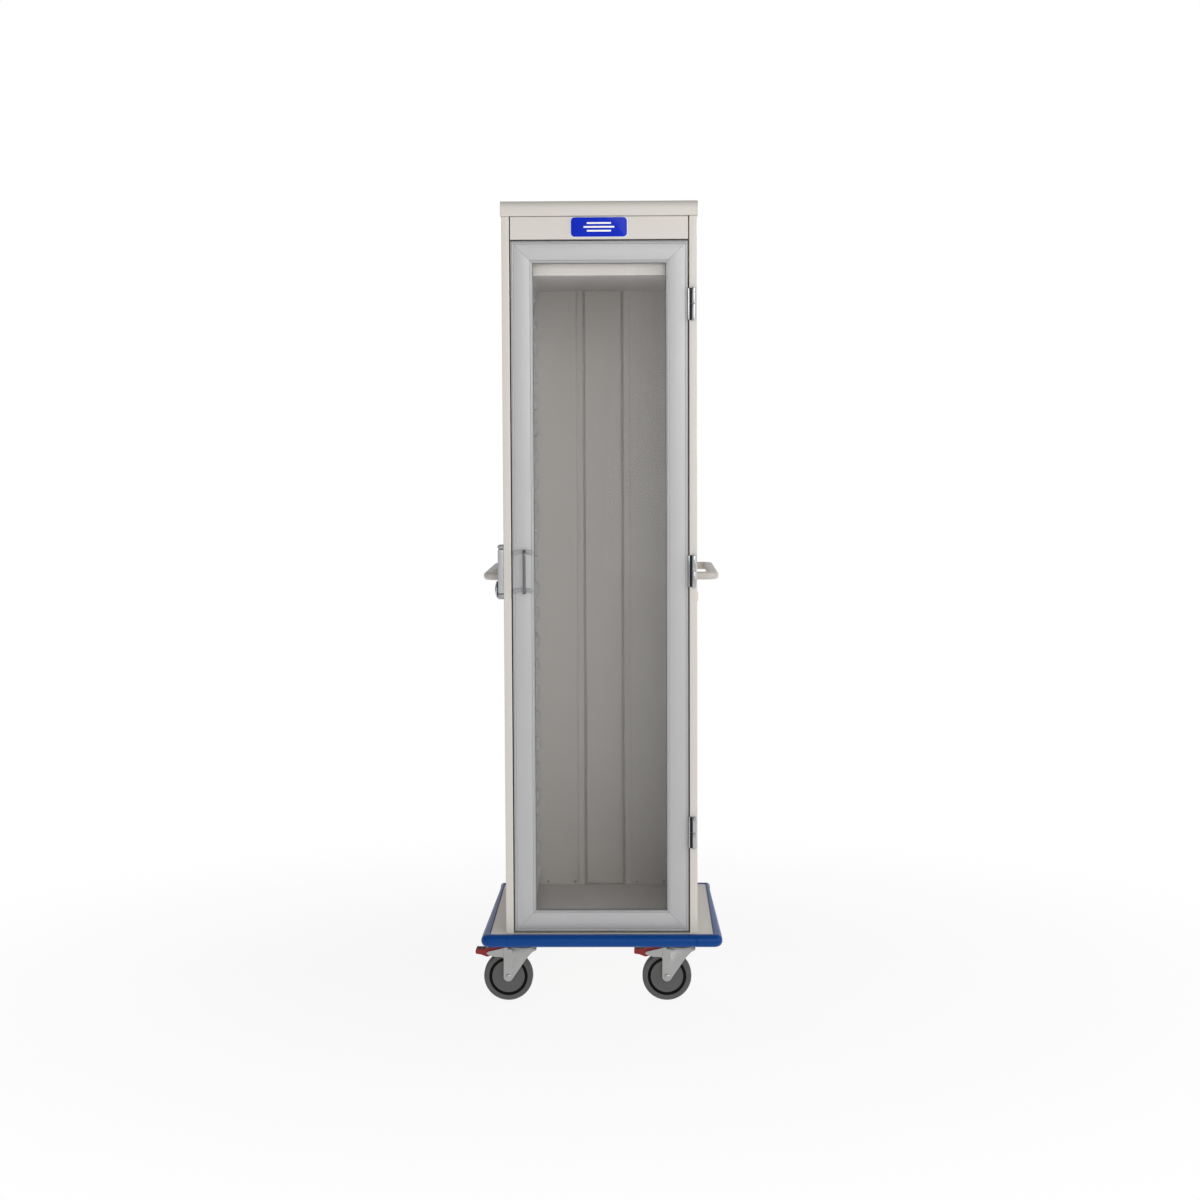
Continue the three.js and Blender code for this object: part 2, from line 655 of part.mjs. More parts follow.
function castorFork(braked) {
  const { trail } = CASTOR;
  const { half, sheet, bridge, top, left, round } = FORK;
  const cheek = new THREE.Shape();
  cheek.absarc(-trail, WHEEL.radius, round, Math.PI, 2 * Math.PI - 0.5);
  cheek.lineTo(9.8, 110);
  cheek.lineTo(24, 126);
  cheek.lineTo(35, 131);
  cheek.lineTo(35, top);
  cheek.lineTo(-90, top - 1);
  cheek.lineTo(-92, 120);
  cheek.lineTo(-71, 113.5);
  cheek.lineTo(-trail - left - 3, 113.5);
  cheek.lineTo(-trail - left, 110);
  cheek.closePath();
  const outer = alongY(cheek, -half, half, 6);
  const throat = block(-BIG, BIG, -half + sheet, half - sheet, 0, bridge);
  const pedalSlot = block(-BIG, -38, -half + sheet, half - sheet, bridge - 1, top + 1);
  const axleHole = bar('y', AXLE.radius + GAP, 4 * half, [-trail, 0, WHEEL.radius], 12);
  const pinHole = bar('y', PEDAL.bore, 4 * half, [PEDAL.pivotX - CASTOR.trail, 0, PEDAL.pivotZ], 10);
  const ring = turned([
    [0, top - 2],
    [CASTOR.headRadius, top - 2],
    [CASTOR.headRadius, top + 1],
    [CASTOR.headRadius - 4, CASTOR.head],
    [0, CASTOR.head],
  ], 'z', [0, 0, 0], 24);
  const holes = braked ? [axleHole, pinHole] : [axleHole];
  return join(cut(outer, throat, pedalSlot, ...holes), ring);
}

function castorWheel() {
  const { radius, half, grooveOut, grooveIn, grooveDeep, bore } = WHEEL;
  const right = [
    [bore, half],
    [grooveIn, half - 1],
    [grooveIn + 1, half - grooveDeep],
    [grooveOut, half - 1],
    [radius - 3, half - 2],
    [radius, half - 7],
  ];
  const left = right.map(([r, y]) => [r, -y]).reverse();
  return turned([...left, ...right].reverse(), 'y', [-CASTOR.trail, 0, radius], 28);
}

function castorAxle() {
  const { radius, half, head, headThick } = AXLE;
  const at = [-CASTOR.trail, 0, WHEEL.radius];
  const shank = bar('y', radius, 2 * half, at, 10);
  const headAt = (side) => bar('y', head, headThick,
    [at[0], side * (FORK.half + GAP + headThick / 2), at[2]], 10);
  return join(shank, headAt(-1), headAt(1));
}

function brakePedal() {
  const x = PEDAL.pivotX - CASTOR.trail;
  const z = PEDAL.pivotZ;
  const arm = outline([
    [x + 6, z - 5],
    [x + 9, z + 4],
    [x + 4, z + 8],
    [-88, z + 6],
    [-98, z + 3],
    [-PEDAL.reach + 2, z + 3.5],
    [-PEDAL.reach, z + 1],
    [-PEDAL.reach, z - 10],
    [-108, z - 11],
    [-92, z - 17],
    [-84, z - 15],
    [x - 6, z - 5],
  ]);
  const body = alongY(arm, -PEDAL.half, PEDAL.half);
  const pin = bar('y', PEDAL.pin, 2 * FORK.half, [x, 0, z], 10);
  return join(body, pin);
}

// ---- the assembly ----------------------------------------------------------------------------------------

add('top_cap', topCap(), 'paint');
add('header_fascia', headerFascia(), 'paint');
add('name_badge', nameBadge(), 'badgeBlue');
add('left_side_panel', cut(sidePanel(-1),
  boltHole(-BODY_HALF - 1, -RETURN_HALF + 1),
  spindleHole(-BODY_HALF - 1, -BODY_HALF + SHEET + 1)), 'paint');
add('right_side_panel', sidePanel(1), 'paint');
add('back_panel', backPanel(), 'innerPaint');
add('back_channel_cover', coverPlate(), 'innerPaint');
add('ceiling_panel', ceilingPanel(), 'innerPaint');
add('floor_panel', floorPanel(), 'innerPaint');
add('left_tray_runners', trayRunner(-1), 'runnerPlastic');
add('right_tray_runners', trayRunner(1), 'runnerPlastic');

for (const [edge, [length, place]] of Object.entries(MEMBER_PLACES)) {
  const member = mitredMember(length, place);
  const strike = boltHole(-DOOR.half - 1, -DOOR.half + DOOR.wall + 1);
  add(`door_frame_${edge}`, edge === 'left' ? cut(member, strike) : member, 'aluminium');
}
add('door_glass', doorGlass(), 'clearGlass');
add('door_glazing_seal', glazingSeal(), 'seal');
add('door_pull_handle', doorPull(), 'lockSilver');

HINGE.heights.forEach((z, i) => {
  add(`${HINGE_NAMES[i]}_hinge_frame_leaf`, frameLeaf(z), 'chrome');
  add(`${HINGE_NAMES[i]}_hinge_door_leaf`, doorLeaf(z), 'chrome');
});

add('lock_housing', lockHousing(), 'lockSilver');
add('lock_knob', lockKnob(), 'chrome');
add('lock_bolt', lockBolt(), 'chrome');
add('left_push_handle', pushHandle(-1), 'handlePaint');
add('right_push_handle', pushHandle(1), 'handlePaint');

add('base_plate', basePlate(), 'paint');
for (const edge of ['front', 'rear', 'left', 'right']) {
  add(`bumper_${edge}`, bumperRail(edge), 'bumperBlue');
}
for (const end of ['front', 'rear']) {
  for (const [side, sign] of [['left', -1], ['right', 1]]) {
    add(`bumper_corner_${end}_${side}`, bumperCorner(sign, end), 'bumperBlue');
    const castor = new THREE.Group();
    castor.position.set(sign * CASTOR.x, CASTOR_Y[end], 0);
    const name = `${end}_${side}_castor`;
    add(`${name}_mount`, castorMount(), 'zinc', castor);
    add(`${name}_fork`, castorFork(end === 'front'), 'zinc', castor);
    add(`${name}_wheel`, castorWheel(), 'tyre', castor);
    add(`${name}_axle`, castorAxle(), 'zinc', castor);
    if (end === 'front') add(`${name}_brake_pedal`, brakePedal(), 'pedalRed', castor);
    cabinet.add(castor);
  }
}

// The brake pedal on the left reaches past the bumper, so the footprint's middle is a little to the left.
const reachLeft = CASTOR.x + PEDAL.reach;
const reachRight = PLATE.half + BUMPER.deep;
cabinet.position.set((reachLeft - reachRight) / 2, -(PLATE.front + PLATE.back) / 2, 0);

export default cabinet;
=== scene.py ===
import math

import bpy
import numpy as np
from bpy.props import FloatProperty, FloatVectorProperty, IntProperty, PointerProperty
from mathutils import Matrix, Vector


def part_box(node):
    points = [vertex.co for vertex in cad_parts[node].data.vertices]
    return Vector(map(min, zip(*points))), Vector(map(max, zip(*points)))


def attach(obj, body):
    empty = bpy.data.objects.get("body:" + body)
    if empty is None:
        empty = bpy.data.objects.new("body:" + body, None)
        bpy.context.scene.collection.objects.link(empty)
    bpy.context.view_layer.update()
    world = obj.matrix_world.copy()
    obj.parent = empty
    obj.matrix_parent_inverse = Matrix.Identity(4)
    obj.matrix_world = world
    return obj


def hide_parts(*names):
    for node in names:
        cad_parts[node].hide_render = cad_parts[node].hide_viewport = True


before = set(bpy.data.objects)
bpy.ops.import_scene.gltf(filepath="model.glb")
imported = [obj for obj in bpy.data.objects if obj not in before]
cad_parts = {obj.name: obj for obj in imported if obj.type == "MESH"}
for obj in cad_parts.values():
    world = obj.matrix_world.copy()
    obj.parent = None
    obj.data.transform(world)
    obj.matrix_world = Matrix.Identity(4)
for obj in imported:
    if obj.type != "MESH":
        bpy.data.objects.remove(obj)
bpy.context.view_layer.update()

bl_info = {
    "name": "Mobile tray cabinet",
    "version": (1, 0, 0),
    "blender": (4, 5, 0),
    "location": "View3D > Sidebar > Cabinet",
    "description": "Finished surfaces and materials of a mobile hospital tray cabinet",
    "category": "Object",
}

# Shapes are worked out in millimetres in the cabinet's own coordinates: X from its middle plane, Y back
# from the front face of its body, Z up from the floor. ORIGIN is where these start in the frame.
MM = 0.001
BODY_LOW, BODY_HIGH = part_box("left_side_panel")[0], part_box("right_side_panel")[1]
ORIGIN = np.array([(BODY_LOW[0] + BODY_HIGH[0]) / 2, BODY_LOW[1], 0.0])

SIDES = {"left": -1.0, "right": 1.0}
ENDS = ("front", "rear")
HINGES = ("bottom", "middle", "top")
CASTORS = [f"{end}_{side}_castor" for end in ENDS for side in SIDES]
BRAKED = CASTORS[:2]
GAP = 0.3  # clearance between pieces that would otherwise touch
AXIS_END = 0.05  # how near a turned profile comes to its axis


def span(node):
    """Lowest and highest corner of a CAD node, in the cabinet's millimetres."""
    low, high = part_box(node)
    return (np.array(low) - ORIGIN) / MM, (np.array(high) - ORIGIN) / MM


def linear(code):
    """Linear RGBA of an sRGB hex colour."""
    parts = [int(code[i:i + 2], 16) / 255 for i in (1, 3, 5)]
    return tuple(p / 12.92 if p <= 0.04045 else ((p + 0.055) / 1.055) ** 2.4 for p in parts) + (1.0,)


# ---- sizes and colours that a user may change ----------------------------------------------------


def colour(name, description, code):
    """A colour for the panel, from its sRGB hex code."""
    return FloatVectorProperty(name=name, description=description, default=linear(code),
                               size=4, min=0.0, max=1.0, subtype="COLOR")


def length(name, description, millimetres):
    """A length for the panel, from millimetres."""
    return FloatProperty(name=name, description=description, default=millimetres * MM,
                         min=0.0, unit="LENGTH", subtype="DISTANCE")


class CabinetColours(bpy.types.PropertyGroup):
    """Colours of the finishes."""

    paint: colour("Body paint", "Powder coat of the body and the base", "#CFCAC3")
    inner_paint: colour("Inner paint", "Powder coat of the sheets inside", "#D2CDC7")
    aluminium: colour("Aluminium", "Anodised door members", "#B6B6B7")
    runner: colour("Runners", "Moulded tray runner walls", "#C6C8CB")
    bumper: colour("Bumper", "Bumper rails and corners", "#003F84")
    badge: colour("Badge", "Domed badge on the fascia", "#0026B8")
    handle: colour("Push handles", "Moulded push handles", "#BBB5AF")
    silver: colour("Silver lacquer", "Lock housing and door pull", "#B4B5B7")
    rubber: colour("Tread", "Castor treads and wheel centres", "#4C4C4D")
    pedal: colour("Pedal", "Brake pedals", "#8E0E0E")
    floor: colour("Floor", "Studio floor", "#F1F1F1")


class CabinetSizes(bpy.types.PropertyGroup):
    """Sizes of details that the frame leaves open."""

    sheet: length("Sheet", "Thickness of the folded steel sheet", 1.2)
    bend: length("Bend", "Inside radius of the folds", 0.5)
    cap_round: length("Cap rounding", "Radius of the roll along the front and back of the cap", 18.0)
    crown: length("Crown", "How far a door member's middle stands out", 2.6)
    bead: length("Bead", "Width of the raised beads along a door member", 2.8)
    groove: length("Groove", "Depth of the grooves beside a bead", 0.8)
    badge_dome: length("Badge dome", "Height of the badge's resin dome", 0.9)
    screw: length("Screw", "Radius of the small screw heads", 3.6)
    turns: IntProperty(name="Turned steps", description="Steps round a turned piece", default=72,
                       min=16, max=256)


def size(name):
    """A size from the panel, in millimetres."""
    return getattr(bpy.context.scene.cabinet_sizes, name) / MM


def turns():
    """How many steps a turned piece has round it."""
    return bpy.context.scene.cabinet_sizes.turns


# ---- surfaces worked out with numpy --------------------------------------------------------------


def closed_part(vertices, faces, uv=None):
    """A part with its faces turned outwards: the signed volumes under its faces add up above zero."""
    vertices = np.asarray(vertices, float)
    centre = vertices.mean(axis=0)
    volume = 0.0
    for block in faces:
        first = vertices[block[:, 0]] - centre
        for k in range(1, block.shape[1] - 1):
            second = vertices[block[:, k]] - centre
            third = vertices[block[:, k + 1]] - centre
            volume += np.einsum("ij,ij->i", first, np.cross(second, third)).sum()
    if volume < 0:
        faces = [block[:, ::-1] for block in faces]
    return {"vertices": vertices, "faces": faces, "uv": uv}


def grid_part(points, loop=False, run=False):
    """A part from a (rows, columns, 3) grid whose columns close on themselves: each cell is a quad. The
    rows close on themselves too if loop is set; otherwise one face closes the first and the last row.
    If run is set, the UV map has the way round the section, there and back, and the way along it."""
    rows, columns = points.shape[:2]
    index = np.arange(rows * columns).reshape(rows, columns)
    right = np.roll(index, -1, axis=1)
    if loop:
        cells = np.stack([index, right, np.roll(right, -1, axis=0), np.roll(index, -1, axis=0)], axis=-1)
    else:
        cells = np.stack([index[:-1], right[:-1], right[1:], index[1:]], axis=-1)
    faces = [cells.reshape(-1, 4)]
    if not loop:
        faces += [index[0][None, ::-1], index[-1][None, :]]
    uv = None
    if run:
        round_way = np.linalg.norm(np.roll(points, -1, axis=1) - points, axis=-1)
        way = np.concatenate([np.zeros((rows, 1)), round_way[:, :-1].cumsum(axis=1)], axis=1)
        way = np.minimum(way, round_way.sum(axis=1)[:, None] - way)
        along = np.linalg.norm(np.diff(points, axis=0), axis=-1)
        along = np.concatenate([np.zeros((1, columns)), along.cumsum(axis=0)], axis=0)
        uv = np.stack([way, along], axis=-1).reshape(-1, 2) * MM
    return closed_part(points.reshape(-1, 3), faces, uv)


def carried(section, stations, across, up, loop=False, run=False):
    """A closed (u, v) section carried along stations: point = station + u across + v up."""
    stations = np.asarray(stations, float)
    across = np.broadcast_to(np.asarray(across, float), stations.shape)
    up = np.broadcast_to(np.asarray(up, float), stations.shape)
    u, v = section[None, :, 0, None], section[None, :, 1, None]
    return grid_part(stations[:, None] + u * across[:, None] + v * up[:, None], loop, run)


def straight(section, axis, start, stop, run=False):
    """A section carried along one axis: its (u, v) are the other two axes, in X, Y, Z order."""
    others = [i for i in range(3) if i != axis]
    stations = np.zeros((2, 3))
    stations[:, axis] = (start, stop)
    units = np.eye(3)
    return carried(section, stations, units[others[0]], units[others[1]], run=run)


def turned(profile, centre, axis, loop=False):
    """An (r, h) profile turned about an axis: point = centre + h axis + r (cos a first + sin a second),
    for angles a right round and two directions square to the axis. If loop is set the profile is a
    closed line clear of the axis; otherwise a face closes each of its ends, which lie near the axis."""
    axis = np.asarray(axis, float)
    helper = np.array([0.0, 0.0, 1.0]) if abs(axis[2]) < 0.9 else np.array([1.0, 0.0, 0.0])
    first = np.cross(axis, helper)
    first /= np.linalg.norm(first)
    second = np.cross(axis, first)
    angle = np.linspace(0, 2 * math.pi, turns(), endpoint=False)
    ring = np.cos(angle)[:, None] * first + np.sin(angle)[:, None] * second
    profile = np.asarray(profile, float)
    points = np.asarray(centre, float) + profile[:, None, 1:] * axis + profile[:, None, :1] * ring[None]
    return grid_part(points, loop)


def arc(centre, radius, start, stop, steps):
    """Points centre + radius (cos a, sin a), with a in degrees from start to stop."""
    angle = np.radians(np.linspace(start, stop, steps))
    return np.asarray(centre, float) + radius * np.stack([np.cos(angle), np.sin(angle)], axis=-1)


def bent_line(points, radius, closed=False, left_extra=0.0, steps=6):
    """A line whose corners are arcs tangent to both sides, and the direction to its left at each point.
    A left turn takes radius + left_extra, so that an offset to the left keeps the radius."""
    points = np.asarray(points, float)
    count = len(points)
    radii = np.broadcast_to(np.asarray(radius, float), (count,))
    places, lefts = [], []
    for i in range(count):
        before = points[i] - points[i - 1] if closed or i else points[1] - points[0]
        after = points[(i + 1) % count] - points[i] if closed or i < count - 1 else before
        into, out = before / np.linalg.norm(before), after / np.linalg.norm(after)
        turn = math.atan2(into[0] * out[1] - into[1] * out[0], float(into @ out))
        left = np.array([-into[1], into[0]])
        if abs(turn) < 1e-3 or radii[i] <= 0:
            places.append(points[i:i + 1])
            lefts.append(left[None])
            continue
        bend = radii[i] + (left_extra if turn > 0 else 0.0)
        reach = bend * math.tan(abs(turn) / 2)
        limit = 0.49 * min(np.linalg.norm(before), np.linalg.norm(after))
        if reach > limit:
            bend, reach = bend * limit / reach, limit
        sign = math.copysign(1.0, turn)
        middle = points[i] - into * reach + left * sign * bend
        angle = math.atan2(-left[1] * sign, -left[0] * sign) + np.linspace(0, turn, steps)
        spoke = np.stack([np.cos(angle), np.sin(angle)], axis=-1)
        places.append(middle + bend * spoke)
        lefts.append(-spoke * sign)
    return np.concatenate(places), np.concatenate(lefts)


def folded_section(points, bend=None, thick=None):
    """Closed outline of a folded sheet: the bent line, then the same line moved to its left."""
    thick = size("sheet") if thick is None else thick
    bend = size("bend") if bend is None else bend
    line, left = bent_line(points, bend, left_extra=thick)
    return np.concatenate([line, (line + left * thick)[::-1]])


def rounded_outline(points, radius, steps=6):
    """A closed outline through points, with an arc of its radius tangent to both sides at each one."""
    return bent_line(points, radius, closed=True, steps=steps)[0]


def rectangle(a0, a1, b0, b1):
    """Corners of a rectangle from a0 to a1 and from b0 to b1, in order round it."""
    return [(a0, b0), (a1, b0), (a1, b1), (a0, b1)]


def ringed_box(low, high, axis, plan, rings, steps=6, facing=1):
    """Rings round a box, from its two sides across the axis. Each ring is (inset, height): a rectangle
    that much inside the box, with corner arcs of radius plan less the inset, at that height above the
    box's foot, or below its head if facing is -1."""
    low, high = np.asarray(low, float), np.asarray(high, float)
    first, second = [i for i in range(3) if i != axis]
    centre, half = (low + high) / 2, (high - low) / 2
    inset, height = np.asarray(rings, float).T
    quarter = np.radians(np.linspace(0, 90, steps + 1))
    angle = np.concatenate([quarter + k * math.pi / 2 for k in range(4)])
    sign_a = np.repeat([1, -1, -1, 1], steps + 1)
    sign_b = np.repeat([1, 1, -1, -1], steps + 1)
    radius = np.maximum(plan - inset, 0.05)[:, None]
    hold = inset[:, None] + radius
    points = np.zeros((len(inset), len(angle), 3))
    points[..., first] = centre[first] + sign_a * (half[first] - hold) + radius * np.cos(angle)
    points[..., second] = centre[second] + sign_b * (half[second] - hold) + radius * np.sin(angle)
    base = low[axis] if facing > 0 else high[axis]
    points[..., axis] = base + facing * height[:, None]
    return grid_part(points)


def rounded_box(low, high, axis, plan, top, bottom, steps=6, dome=0.0, facing=1):
    """A box with round edges: inset and height follow a quarter circle at its foot and at its head. A
    dome lifts the head by dome (1 - s^2), where s is the share of the way from its middle to its
    edge."""
    low, high = np.asarray(low, float), np.asarray(high, float)
    tall = (high - low)[axis]
    quarter = np.radians(np.linspace(0, 90, steps))
    inset = [bottom * (1 - np.sin(quarter)), top * (1 - np.cos(quarter))]
    height = [bottom * (1 - np.cos(quarter)), tall - top * (1 - np.sin(quarter))]
    if dome:
        across = [i for i in range(3) if i != axis]
        reach = ((high - low) / 2)[across].min()
        share = np.linspace(1, 0.03, 14)[1:]
        inset.append(top + (1 - share) * (reach - top))
        height.append(tall + dome * (1 - share ** 2))
    rings = np.stack([np.concatenate(inset), np.concatenate(height)], axis=-1)
    return ringed_box(low, high, axis, plan, rings, steps, facing)


def plate_between(x, low, high, near, far):
    """A plate that at each x runs from low to high in Z and from near to far in Y."""
    values = (np.asarray(value, float) for value in (x, low, high, near, far))
    x, low, high, near, far = np.broadcast_arrays(*values)
    ring = [(near, low), (near, high), (far, high), (far, low)]
    return grid_part(np.stack([np.stack([x, y, z], axis=-1) for y, z in ring], axis=1))


def screw_head(centre, axis, radius, high):
    """A button head with a socket: its profile is a low dome, then a flat-bottomed hollow."""
    near, root = 0.03, -0.4
    dome = arc((0, -radius * 0.6), radius * 1.17, 30, 64, 7) * (1, high / (radius * 0.5))
    dome[:, 1] -= dome[:, 1].min()
    (mouth, brim), floor = dome[-1], high * 0.45
    socket = [(mouth - 0.2, brim - 0.1), (mouth - 0.3, floor), (near, floor)]
    return turned(np.concatenate([[(near, root), (dome[0, 0], root)], dome, socket]), centre, axis)


# ---- objects -------------------------------------------------------------------------------------


def mesh_from(name, parts):
    """One mesh from closed parts, taken from the cabinet's millimetres to the frame's metres."""
    vertices = np.concatenate([part["vertices"] for part in parts]) * MM + ORIGIN
    loops, sizes, offset = [], [], 0
    for part in parts:
        for block in part["faces"]:
            loops.append((block + offset).ravel())
            sizes.append(np.full(len(block), block.shape[1]))
        offset += len(part["vertices"])
    loops, sizes = np.concatenate(loops), np.concatenate(sizes)
    mesh = bpy.data.meshes.new(name)
    mesh.vertices.add(len(vertices))
    mesh.vertices.foreach_set("co", vertices.astype(np.float32).ravel())
    mesh.loops.add(len(loops))
    mesh.loops.foreach_set("vertex_index", loops.astype(np.int32))
    mesh.polygons.add(len(sizes))
    mesh.polygons.foreach_set("loop_start", (np.cumsum(sizes) - sizes).astype(np.int32))
    if all(part["uv"] is not None for part in parts):
        layer = mesh.uv_layers.new(name="run")
        uv = np.concatenate([part["uv"] for part in parts])[loops]
        layer.uv.foreach_set("vector", uv.astype(np.float32).ravel())
    mesh.update(calc_edges=True)
    mesh.validate()
    return mesh


def finished(name, body, slot, parts, replaces=(), finish=None, bevel=0.0, holes=(), sharp=32.0):
    """One object at the origin from closed parts, with its holes cut, its finish on and its edges
    bevelled, riding on a body and standing for the CAD nodes that it replaces."""
    mesh = mesh_from(name, parts)
    piece = bpy.data.objects.new(name, mesh)
    bpy.context.scene.collection.objects.link(piece)
    for part in holes:
        cut_hole(piece, part)
    mesh = piece.data
    mesh.polygons.foreach_set("use_smooth", np.ones(len(mesh.polygons), bool))
    mesh.set_sharp_from_angle(angle=math.radians(sharp))
    mesh.materials.clear()
    mesh.materials.append(FINISHES[finish or slot])
    if bevel:
        modifier = piece.modifiers.new("edges", "BEVEL")
        modifier.width = bevel * MM
        modifier.segments = 3
        modifier.limit_method = "ANGLE"
        modifier.angle_limit = math.radians(35)
        modifier.harden_normals = True
    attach(piece, body)
    if replaces:
        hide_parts(*replaces)
    return piece


def cut_hole(piece, part):
    """Takes a closed part out of a piece with a Boolean that is applied at once."""
    cutter = bpy.data.objects.new("cutter", mesh_from("cutter", [part]))
    bpy.context.scene.collection.objects.link(cutter)
    modifier = piece.modifiers.new("hole", "BOOLEAN")
    modifier.operation = "DIFFERENCE"
    modifier.solver = "EXACT"
    modifier.object = cutter
    bpy.context.view_layer.update()
    before = piece.data
    evaluated = piece.evaluated_get(bpy.context.evaluated_depsgraph_get())
    piece.data = bpy.data.meshes.new_from_object(evaluated)
    piece.modifiers.clear()
    tool = cutter.data
    bpy.data.objects.remove(cutter)
    bpy.data.meshes.remove(tool)
    bpy.data.meshes.remove(before)


def box_part(low, high):
    """A plain box, for cutting."""
    return ringed_box(low, high, 2, 0.05, [(0, 0), (0, high[2] - low[2])], steps=1)


# ---- materials -----------------------------------------------------------------------------------


def add_node(tree, kind, settings=None, inputs=None):
    """Adds a node, sets its settings, and fills its inputs with constants or links."""
    node = tree.nodes.new(kind)
    for key, value in (settings or {}).items():
        setattr(node, key, value)
    for key, value in (inputs or {}).items():
        if isinstance(value, bpy.types.NodeSocket):
            tree.links.new(value, node.inputs[key])
        else:
            node.inputs[key].default_value = value
    return node


WHITE = (1.0, 1.0, 1.0, 1.0)


def new_material(name, constants):
    """A material of one Principled shader; returns it, its tree, its shader and object coordinates."""
    material = bpy.data.materials.new(name)
    material.use_nodes = True
    tree = material.node_tree
    tree.nodes.clear()
    shader = add_node(tree, "ShaderNodeBsdfPrincipled", inputs=constants)
    add_node(tree, "ShaderNodeOutputMaterial", inputs={"Surface": shader.outputs["BSDF"]})
    place = add_node(tree, "ShaderNodeTexCoord").outputs["Object"]
    return material, tree, shader, place


def tinted(base, amount):
    """A linear colour made lighter or darker."""
    return tuple(min(1.0, channel * amount) for channel in base[:3]) + (1.0,)


def mottled(tree, shader, place, base, spread, scale, detail=3.0):
    """Links a base colour that wanders by the given share, in clouds of the given scale per metre."""
    cloud = add_node(tree, "ShaderNodeTexNoise", inputs={
        "Vector": place, "Scale": scale, "Detail": detail})
    tint = add_node(tree, "ShaderNodeMix", {"data_type": "RGBA"}, {
        0: cloud.outputs["Fac"], 6: tinted(base, 1 - spread), 7: tinted(base, 1 + spread)})
    tree.links.new(tint.outputs[2], shader.inputs["Base Color"])
    return cloud.outputs["Fac"]


def textured(tree, shader, height, roughness, swing, strength, depth_mm):
    """Links roughness and bump to one height pattern."""
    gloss = add_node(tree, "ShaderNodeMapRange", inputs={
        "Value": height, "From Min": 0.25, "From Max": 0.75,
        "To Min": roughness - swing, "To Max": roughness + swing})
    tree.links.new(gloss.outputs["Result"], shader.inputs["Roughness"])
    bump = add_node(tree, "ShaderNodeBump", inputs={
        "Height": height, "Strength": strength, "Distance": depth_mm * MM})
    tree.links.new(bump.outputs["Normal"], shader.inputs["Normal"])


def noise(tree, place, grain_mm, detail=2.0):
    """A pattern whose lumps are about the given size."""
    texture = add_node(tree, "ShaderNodeTexNoise", inputs={
        "Vector": place, "Scale": 1000.0 / grain_mm, "Detail": detail})
    return texture.outputs["Fac"]


def powder_coat(name, base, roughness):
    """Polyester powder coat on steel, sprayed and baked: an even satin skin with fine orange peel. The
    peel is 1.5 mm across and shallow, so highlights break up softly. Film thickness wanders over about
    200 mm, which keeps large panels from looking flat."""
    material, tree, shader, place = new_material(name, {
        "IOR": 1.5, "Coat Weight": 0.1, "Coat Roughness": 0.3})
    mottled(tree, shader, place, base, 0.025, 5.0)
    textured(tree, shader, noise(tree, place, 1.5), roughness, 0.05, 0.15, 0.12)
    return material


def anodised_extrusion(name, base):
    """Extruded aluminium, etched and anodised: a satin grey metal with fine die lines along its length.
    The lines are drawn 1.2 mm apart, coarser than real ones, so that they show as a soft sheen."""
    material, tree, shader, place = new_material(name, {"Metallic": 0.6, "Anisotropic": 0.3})
    run = add_node(tree, "ShaderNodeUVMap", {"uv_map": "run"})
    stretched = add_node(tree, "ShaderNodeMapping", inputs={
        "Vector": run.outputs["UV"], "Scale": (830.0, 2.0, 1.0)})
    lines = add_node(tree, "ShaderNodeTexNoise", inputs={
        "Vector": stretched.outputs["Vector"], "Scale": 1.0, "Detail": 2.0})
    mottled(tree, shader, place, base, 0.03, 14.0)
    textured(tree, shader, lines.outputs["Fac"], 0.5, 0.07, 0.1, 0.1)
    return material


def toughened_glass(name):
    """Clear toughened glass: hardly seen face on, with a faint blue-green cast and clear reflections."""
    material, tree, shader, place = new_material(name, {
        "Base Color": linear("#FAFBFB"), "IOR": 1.5, "Transmission Weight": 1.0, "Alpha": 0.13})
    textured(tree, shader, noise(tree, place, 140.0, 4.0), 0.04, 0.03, 0.02, 0.05)
    return material


def moulded(name, base, roughness, grain_mm=0.9, spread=0.03, coat=0.0, shine=0.5):
    """Injection-moulded plastic from a spark-eroded tool: an even colour, a little cloudy where the melt
    flowed, and a fine matt grain that takes the edge off its highlights."""
    material, tree, shader, place = new_material(name, {
        "IOR": 1.5, "Specular IOR Level": shine, "Coat Weight": coat, "Coat Roughness": 0.15})
    mottled(tree, shader, place, base, spread, 18.0)
    textured(tree, shader, noise(tree, place, grain_mm), roughness, 0.06, 0.2, 0.05)
    return material


def plated(name, base, roughness, grain_mm, spread):
    """Bare, polished or plated steel: full metal, with a fine mottle in its tone and its gloss from
    rolling, tumbling or the plating bath."""
    material, tree, shader, place = new_material(name, {"Metallic": 1.0})
    mottled(tree, shader, place, base, spread, 1000.0 / (grain_mm * 6), 5.0)
    textured(tree, shader, noise(tree, place, grain_mm, 4.0), roughness, roughness * 0.25, 0.15, 0.02)
    return material


def silver_lacquer(name, base):
    """Silver lacquer over a zinc die casting: metal flakes in a clear coat, grainy up close."""
    material, tree, shader, place = new_material(name, {
        "Metallic": 0.7, "Coat Weight": 0.3, "Coat Roughness": 0.2})
    mottled(tree, shader, place, base, 0.08, 900.0)
    textured(tree, shader, noise(tree, place, 0.6), 0.42, 0.08, 0.15, 0.02)
    return material


def resin_dome(name, base):
    """Printed foil under poured resin: a deep even colour beneath a clear, glossy coat."""
    material, tree, shader, place = new_material(name, {
        "IOR": 1.5, "Specular IOR Level": 0.05, "Coat Weight": 0.2, "Coat Roughness": 0.04})
    mottled(tree, shader, place, base, 0.06, 60.0)
    textured(tree, shader, noise(tree, place, 5.0), 0.3, 0.05, 0.03, 0.05)
    return material


